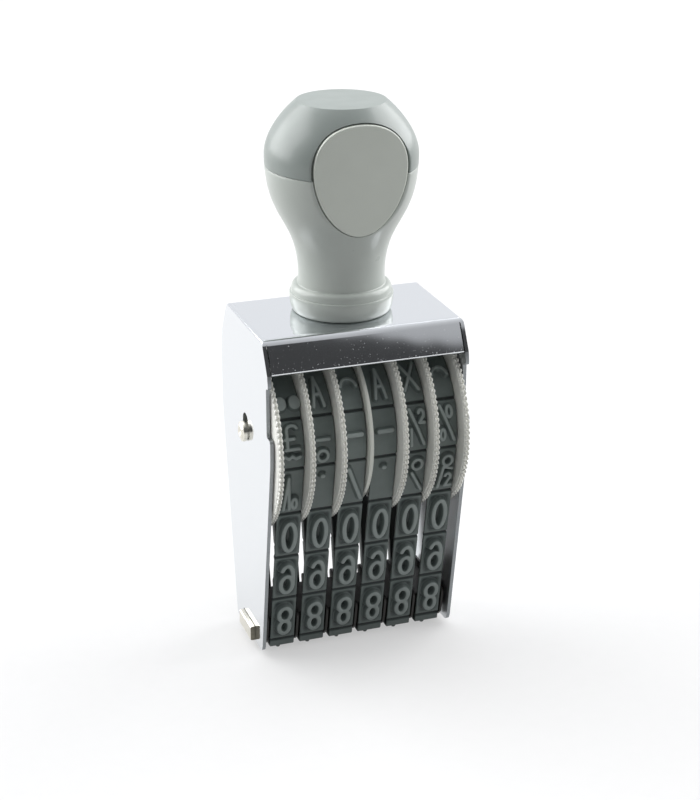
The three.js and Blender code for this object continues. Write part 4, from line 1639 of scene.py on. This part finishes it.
    def badge_outline(self, margin: float) -> list[Point]:
        """The egg-shaped outline of the badge in x and z, grown by a margin.

        Args:
            margin: how far the outline is grown.

        Returns:
            The outline's points.
        """
        half = self.badge_half_width + margin
        top = self.badge_top + margin
        foot = self.badge_foot - margin
        widest = self.badge_widest
        rise, drop = top - widest, widest - foot
        high, low = widest + rise * self.badge_round_share, widest - drop * self.badge_taper_share
        pen = Outline((half, widest), self.badge_steps)
        pen.curve((half, high), (half * self.badge_round_share, top), (0, top))
        pen.curve((-half * self.badge_round_share, top), (-half, high), (-half, widest))
        pen.curve((-half, low), (-half * self.badge_taper_share, foot), (0, foot))
        pen.curve((half * self.badge_taper_share, foot), (half, low), (half, widest))
        return pen.points[:-1]

    def recess_tool(self, base: float, gap: float, flare: float) -> bpy.types.Object:
        """The solid that cuts the badge's recess, with a flared mouth that eases its edge.

        Args:
            base: the height of the handle's foot.
            gap: the gap round the badge.
            flare: how far the mouth is grown beyond the gap, and how deep the flare goes.

        Returns:
            The tool.
        """
        floor = self.recess - self.flat_depth
        mouth = -self.flat_depth
        levels = [(floor, gap), (mouth + flare, gap)]
        for share in self.mouth_levels:
            turn = share * math.pi / 2
            levels.append((mouth + flare * (1 - math.sin(turn)), gap + flare * (1 - math.cos(turn))))
        levels.append((mouth - self.overrun(), gap + flare))
        return self.layered("recess", base, levels)

    def overrun(self) -> float:
        """How far a cutting tool stands out of what it cuts."""
        return self.bulb_radius - self.flat_depth + self.tool_stand_out

    def layered(self, name: str, base: float, levels: Sequence[Point]) -> bpy.types.Object:
        """A solid whose egg-shaped section changes from level to level.

        Args:
            name: the object's name.
            base: the height of the handle's foot.
            levels: the depth of each level, and how far its outline is grown.

        Returns:
            The solid.
        """
        rows = []
        for depth, grown in levels:
            outline = self.badge_outline(grown)
            rows.append([(x, depth, base + z) for x, z in outline])
        count = len(rows[0])
        faces = [tuple(range(count)), tuple(range(count * (len(rows) - 1), count * len(rows)))]
        for level in range(len(rows) - 1):
            for k in range(count):
                near, after = level * count + k, level * count + (k + 1) % count
                faces.append((near, after, after + count, near + count))
        return mesh_object(name, np.array(rows).reshape(-1, 3), faces)

    def moulding(self, name: str, profile: Points, gap: float, flare: float) -> bpy.types.Object:
        """Makes one moulding of the handle, with its flat and its share of the badge's recess.

        Args:
            name: the object's name.
            profile: its closed profile.
            gap: the gap round the badge.
            flare: the ease of the recess's edge.

        Returns:
            The moulding, in place.
        """
        base = box_mm("handle_body")[0].z
        piece = revolve(name, profile, Axis.Z, self.angles())
        self.flatten_front(piece)
        move(piece, z=base)
        combine(piece, self.recess_tool(base, gap, flare), Joining.CUT)
        move(piece, y=handle_set_back())
        return smooth(piece, angle=35)

    def badge(self) -> bpy.types.Object:
        """Makes the badge, bare, with an eased rim.

        Returns:
            The badge, in place.
        """
        front = -self.flat_depth - self.badge_proud
        edge = self.badge_edge
        levels = [(self.recess - self.flat_depth, 0.0), (front + edge, 0.0)]
        for share in self.badge_levels:
            turn = share * math.pi / 2
            levels.append((front + edge * (1 - math.sin(turn)), -edge * (1 - math.cos(turn))))
        levels.append((front, -edge))
        piece = self.layered("plain_badge", box_mm("handle_body")[0].z, levels)
        move(piece, y=handle_set_back())
        return smooth(piece, angle=50)

    def build(self, body_material: bpy.types.Material, cap_material: bpy.types.Material,
              badge_material: bpy.types.Material) -> None:
        """Builds the body, the cap and the badge.

        Args:
            body_material: the light moulding.
            cap_material: the darker moulding.
            badge_material: the badge's satin plastic.
        """
        body = self.moulding("moulded_body", self.body_profile(), self.body_gap, self.body_flare)
        finish_piece(body, "housing", ["handle_body"], body_material)
        cap = self.moulding("moulded_cap", self.cap_profile(), self.cap_gap, self.cap_flare)
        finish_piece(cap, "housing", ["handle_cap"], cap_material)
        finish_piece(self.badge(), "housing", ["handle_badge"], badge_material)


@dataclass
class Metalwork:
    """The axle with its riveted ends, the platen, the dividers, and the handle's screw and washer."""

    axle_radius: float = 1.6
    rivet_radius: float = 2.0
    rivet_gap: float = 0.2
    rivet_thickness: float = 0.75
    stand_out: float = 1.3
    dimple_radius: float = 0.9
    dimple_depth: float = 0.45
    dimple_floor_share: float = 0.4
    shank_dome_share: float = 0.8
    shank_dome_drop: float = 1.5
    dome_rise: float = 0.05
    dome_steps: int = 5
    edge: float = 0.2
    platen_round: float = 0.12
    screw_round: float = 0.08
    sheet_round: float = 0.06
    tenon_inset: float = 0.9
    end_share: float = 0.9
    divider_count: int = 7
    segments: int = 48

    def axle(self, material: bpy.types.Material) -> None:
        """Builds the axle.

        Args:
            material: its plated steel.
        """
        low, high = box_mm("wheel_axle")
        end = high.x
        plate = end - self.stand_out
        pen = Outline((0.0, end - self.dimple_depth), self.dome_steps)
        pen.line((self.dimple_radius * self.dimple_floor_share, end - self.dimple_depth))
        pen.line((self.dimple_radius, end - self.dome_rise))
        pen.curve((self.axle_radius * self.shank_dome_share, end),
                  (self.axle_radius, end - self.edge * self.shank_dome_drop))
        outer = plate + self.rivet_gap + self.rivet_thickness
        pen.curve((self.rivet_radius, outer + self.dome_rise), (self.rivet_radius, outer - self.edge))
        pen.line((self.rivet_radius, plate + self.rivet_gap), (self.axle_radius, plate + self.rivet_gap))
        right = pen.points
        profile = [*right, *[(radius, -x) for radius, x in reversed(right)]]
        piece = revolve("riveted_axle", profile, Axis.X, all_round(self.segments))
        move(piece, z=(low.z + high.z) / 2)
        smooth(piece, angle=35)
        finish_piece(piece, "housing", ["wheel_axle"], material)

    def platen(self, bright_steel: bpy.types.Material, black: bpy.types.Material,
               tenon_end_shade: bpy.types.Material) -> None:
        """Builds the platen, plated where its tenons show, with its middle between the side plates black as
        painted shade.

        Args:
            bright_steel: the tenons' plating.
            black: the black finish, which paints the shade on the middle.
            tenon_end_shade: the rougher finish of the tenons' front and rear ends, darker as painted shade.
        """
        piece = refined_copy("platen", self.platen_round)
        bright_from = (box_mm("frame")[1].x - self.tenon_inset) * MM
        mesh = bmesh.new()
        mesh.from_mesh(piece.data)
        for side in (-1, 1):
            bmesh.ops.bisect_plane(mesh, geom=[*mesh.verts, *mesh.edges, *mesh.faces],
                                   plane_co=(side * bright_from, 0, 0), plane_no=(1, 0, 0))
        mesh.to_mesh(piece.data)
        mesh.free()
        piece.data.materials.clear()
        for finish in (bright_steel, black, tenon_end_shade):
            piece.data.materials.append(finish)
        for face in piece.data.polygons:
            # Painted shade: the middle, between the side plates, takes the black finish
            if abs(face.center.x) < bright_from:
                face.material_index = 1
            # Painted shade: the tenons' front and rear ends take a darker finish
            elif abs(face.normal.y) > self.end_share:
                face.material_index = 2
        finish_piece(piece, "housing", ["platen"])

    def build(self, steel: bpy.types.Material, bright_steel: bpy.types.Material,
              black: bpy.types.Material, tenon_end_shade: bpy.types.Material) -> None:
        """Builds the metal pieces.

        Args:
            steel: the plated steel.
            bright_steel: the brighter plating of what shows through the side plates.
            black: the blackened steel of the dividers, which also paints the shade on the platen's middle.
            tenon_end_shade: the rougher finish of the tenons' ends, darker as painted shade.
        """
        self.axle(bright_steel)
        self.platen(bright_steel, black, tenon_end_shade)
        for node, rounding in (("handle_screw", self.screw_round), ("screw_washer", self.sheet_round)):
            finish_piece(refined_copy(node, rounding), "housing", [node], steel)
        for number in range(1, self.divider_count + 1):
            node = f"band_divider_{number}"
            finish_piece(refined_copy(node, self.sheet_round), "housing", [node], black)


@dataclass(frozen=True)
class Softbox:
    """A soft light: its place in degrees, size and distance in metres, and brightness, where 1 is white."""

    name: str
    azimuth: float
    elevation: float
    width: float
    height: float
    distance: float
    brightness: float


SOFTBOXES = (
    Softbox("left_softbox", -128.0, 28.0, width=0.9, height=0.9, distance=0.9, brightness=3.9),
    Softbox("right_softbox", 100.0, 30.0, width=1.0, height=0.9, distance=1.0, brightness=3.8),
    Softbox("top_softbox", 180.0, 70.0, width=0.7, height=0.5, distance=1.0, brightness=1.2),
)


@dataclass
class Studio:
    """The camera, the pale floor, the surround and the soft lights."""

    azimuth: float = -19.30
    elevation: float = 22.15
    distance: float = 358.8
    target: tuple[float, float, float] = (-0.709, 0.0, 49.11)
    lens: float = 82.5
    sensor: float = 36.0
    shift: float = 0.0126
    nearest: float = 0.01
    farthest: float = 20.0
    floor_half: float = 3000.0
    floor_glow: float = 0.46
    paper: str = "#a0a0a0"
    paper_fibre: str = "#a3a3a3"
    fibre_size: float = 3.0
    surround_white: str = "#fbfcff"
    rear_light: float = 0.98
    front_light: float = 0.5
    dim_from: float = 100.0
    dark_azimuth: float = -25.0
    dark_elevation: float = 10.0
    dark_reach: float = 51.0
    dark_fade: float = 0.5
    dark_in_metal: float = 0.12
    dark_on_matt: float = 0.5

    def direction(self, azimuth: float, elevation: float) -> Vector:
        """The direction from the object at an azimuth and elevation in degrees; 0, 0 is the front."""
        a, e = math.radians(azimuth), math.radians(elevation)
        return Vector((math.sin(a) * math.cos(e), -math.cos(a) * math.cos(e), math.sin(e)))

    def camera(self) -> None:
        """Makes the camera."""
        data = bpy.data.cameras.new("camera")
        data.lens = self.lens
        data.sensor_width = self.sensor
        data.shift_x = self.shift
        data.clip_start = self.nearest
        data.clip_end = self.farthest
        camera = in_scene("camera", data)
        back = self.direction(self.azimuth, self.elevation)
        camera.location = (Vector(self.target) + back * self.distance) * MM
        camera.rotation_mode = "QUATERNION"
        camera.rotation_quaternion = (-back).to_track_quat("-Z", "Y")
        bpy.context.scene.camera = camera

    def floor(self) -> None:
        """Makes the floor, which looks white to the camera and in metal, and takes the object's shadow."""
        half = self.floor_half
        corners = np.array([(-half, -half, 0), (half, -half, 0), (half, half, 0), (-half, half, 0)])
        floor = mesh_object("studio_floor", corners, [(0, 1, 2, 3)])
        material, tree, place = new_material("matt_white_paper")
        fibre = add_node(tree, "ShaderNodeTexNoise", {
            "Vector": place, "Scale": per_metre(self.fibre_size), "Detail": 2.0})
        tone = add_node(tree, "ShaderNodeMix", {
            "Factor": fibre.outputs["Fac"], "A": linear(self.paper), "B": linear(self.paper_fibre)},
            data_type="RGBA")
        paper = add_node(tree, "ShaderNodeBsdfDiffuse", {"Color": tone.outputs["Result"]})
        ray = add_node(tree, "ShaderNodeLightPath")
        seen = add_node(tree, "ShaderNodeMath", {
            0: ray.outputs["Is Camera Ray"], 1: ray.outputs["Is Glossy Ray"]}, operation="MAXIMUM")
        shown = add_node(tree, "ShaderNodeMath", {
            0: seen.outputs["Value"], 1: ray.outputs["Is Transmission Ray"]}, operation="MAXIMUM")
        lift = add_node(tree, "ShaderNodeMath", {
            0: shown.outputs["Value"], 1: self.floor_glow}, operation="MULTIPLY")
        glow = add_node(tree, "ShaderNodeEmission", {
            "Color": linear("#ffffff"), "Strength": lift.outputs["Value"]})
        both = add_node(tree, "ShaderNodeAddShader", {
            0: paper.outputs["BSDF"], 1: glow.outputs["Emission"]})
        add_node(tree, "ShaderNodeOutputMaterial", {"Surface": both.outputs["Shader"]})
        floor.data.materials.append(material)

    def surround(self) -> None:
        """Makes the surround: white where it is seen, and dim towards the front, where a studio is unlit."""
        world = bpy.data.worlds.new("studio_surround")
        bpy.context.scene.world = world
        world.use_nodes = True
        tree = world.node_tree
        tree.nodes.clear()
        place = add_node(tree, "ShaderNodeTexCoord").outputs["Generated"]
        front = self.direction(self.dark_azimuth, self.dark_elevation)
        towards = add_node(tree, "ShaderNodeVectorMath", {0: place, 1: tuple(front)}, operation="DOT_PRODUCT")
        wide = add_node(tree, "ShaderNodeMapRange", {
            "Value": towards.outputs["Value"], "From Min": math.cos(math.radians(self.dim_from)),
            "From Max": math.cos(math.radians(self.dark_reach)),
            "To Min": self.rear_light, "To Max": self.front_light})
        ray = add_node(tree, "ShaderNodeLightPath")
        depth = add_node(tree, "ShaderNodeMix", {
            "Factor": ray.outputs["Is Glossy Ray"], "A": self.dark_on_matt, "B": self.dark_in_metal},
            data_type="FLOAT")
        core = add_node(tree, "ShaderNodeMapRange", {
            "Value": towards.outputs["Value"],
            "From Min": math.cos(math.radians(self.dark_reach + self.dark_fade)),
            "From Max": math.cos(math.radians(self.dark_reach - self.dark_fade)), "To Min": 1.0,
            "To Max": depth.outputs["Result"]})
        light = add_node(tree, "ShaderNodeMath", {
            0: wide.outputs["Result"], 1: core.outputs["Result"]}, operation="MULTIPLY")
        strength = add_node(tree, "ShaderNodeMix", {
            "Factor": ray.outputs["Is Camera Ray"], "A": light.outputs["Value"], "B": 1.0}, data_type="FLOAT")
        back = add_node(tree, "ShaderNodeBackground", {
            "Color": linear(self.surround_white), "Strength": strength.outputs["Result"]})
        add_node(tree, "ShaderNodeOutputWorld", {"Surface": back.outputs["Background"]})

    def hang(self, light: Softbox) -> None:
        """Hangs a soft light that faces the object.

        Args:
            light: the light.
        """
        data = bpy.data.lights.new(light.name, "AREA")
        data.shape = "RECTANGLE"
        data.size = light.width
        data.size_y = light.height
        data.energy = light.brightness * math.pi * light.width * light.height
        lamp = in_scene(light.name, data)
        back = self.direction(light.azimuth, light.elevation)
        lamp.location = Vector(self.target) * MM + back * light.distance
        lamp.rotation_mode = "QUATERNION"
        lamp.rotation_quaternion = (-back).to_track_quat("-Z", "Y")

    def build(self) -> None:
        """Sets up the studio."""
        self.camera()
        self.floor()
        self.surround()
        for light in SOFTBOXES:
            self.hang(light)
        bpy.context.scene.view_settings.view_transform = "Standard"


def main() -> None:
    """Builds every piece in order and sets up the studio."""
    logging.basicConfig(level=logging.INFO, format="%(name)s: %(message)s")
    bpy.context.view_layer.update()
    # The handle's mouldings have polished faces, and the badge a satin one that takes no mirror image
    handle_grey = MouldedPlastic("moulded_abs_light_grey", "#b3b9b3", "#adb3ad", 0.3, coat=0.12)
    cap_grey = MouldedPlastic("moulded_abs_dark_grey", "#8e9692", "#858d89", 0.34, coat=0.08)
    badge_grey = MouldedPlastic("satin_badge_plastic", "#cfd4cb", "#cacfc6", 0.38)
    # Acetal looks a little waxy, and a darker copy of it paints the shade in the pits between the beads
    ivory = MouldedPlastic("moulded_acetal_ivory", "#f5f5ef", "#efefe8", 0.24, mottle_size=2.0)
    # Painted shade: a darker copy of the ivory for the pits between the beads
    pit_shade = MouldedPlastic("acetal_ivory_painted_pit_shade", "#6f6d64", "#5f5d55", 0.5, mottle_size=2.0)
    disc_grey = MouldedPlastic("moulded_acetal_grey", "#eceee6", "#e4e6de", 0.34)
    # Plating is brightest where it is turned, and duller the rougher the cut under it; the tenons' ends are
    # also darker as painted shade
    steel = PlatedSteel().material()
    bright_steel = PlatedSteel("bright_plated_steel", "#e9e7dd", "#d8d4c8", 0.3).material()
    tenon_end_shade = PlatedSteel("tenon_end_painted_shade", "#8d897c", "#6d695e", 0.5).material()
    sheared = PlatedSteel("sheared_plated_edge", "#9b9fa1", "#85898b", 0.45).material()
    Studio().build()
    NumberBands().build(TypeRubber().material())
    ThumbWheels().build(ivory.material(), pit_shade.material())
    CentreDisc().build(disc_grey.material())
    Housing().build(ChromedSheet().material(), sheared)
    Handle().build(handle_grey.material(), cap_grey.material(), badge_grey.material())
    Metalwork().build(steel, bright_steel, BlackenedSheet().material(), tenon_end_shade)


if __name__ == "__main__":
    main()
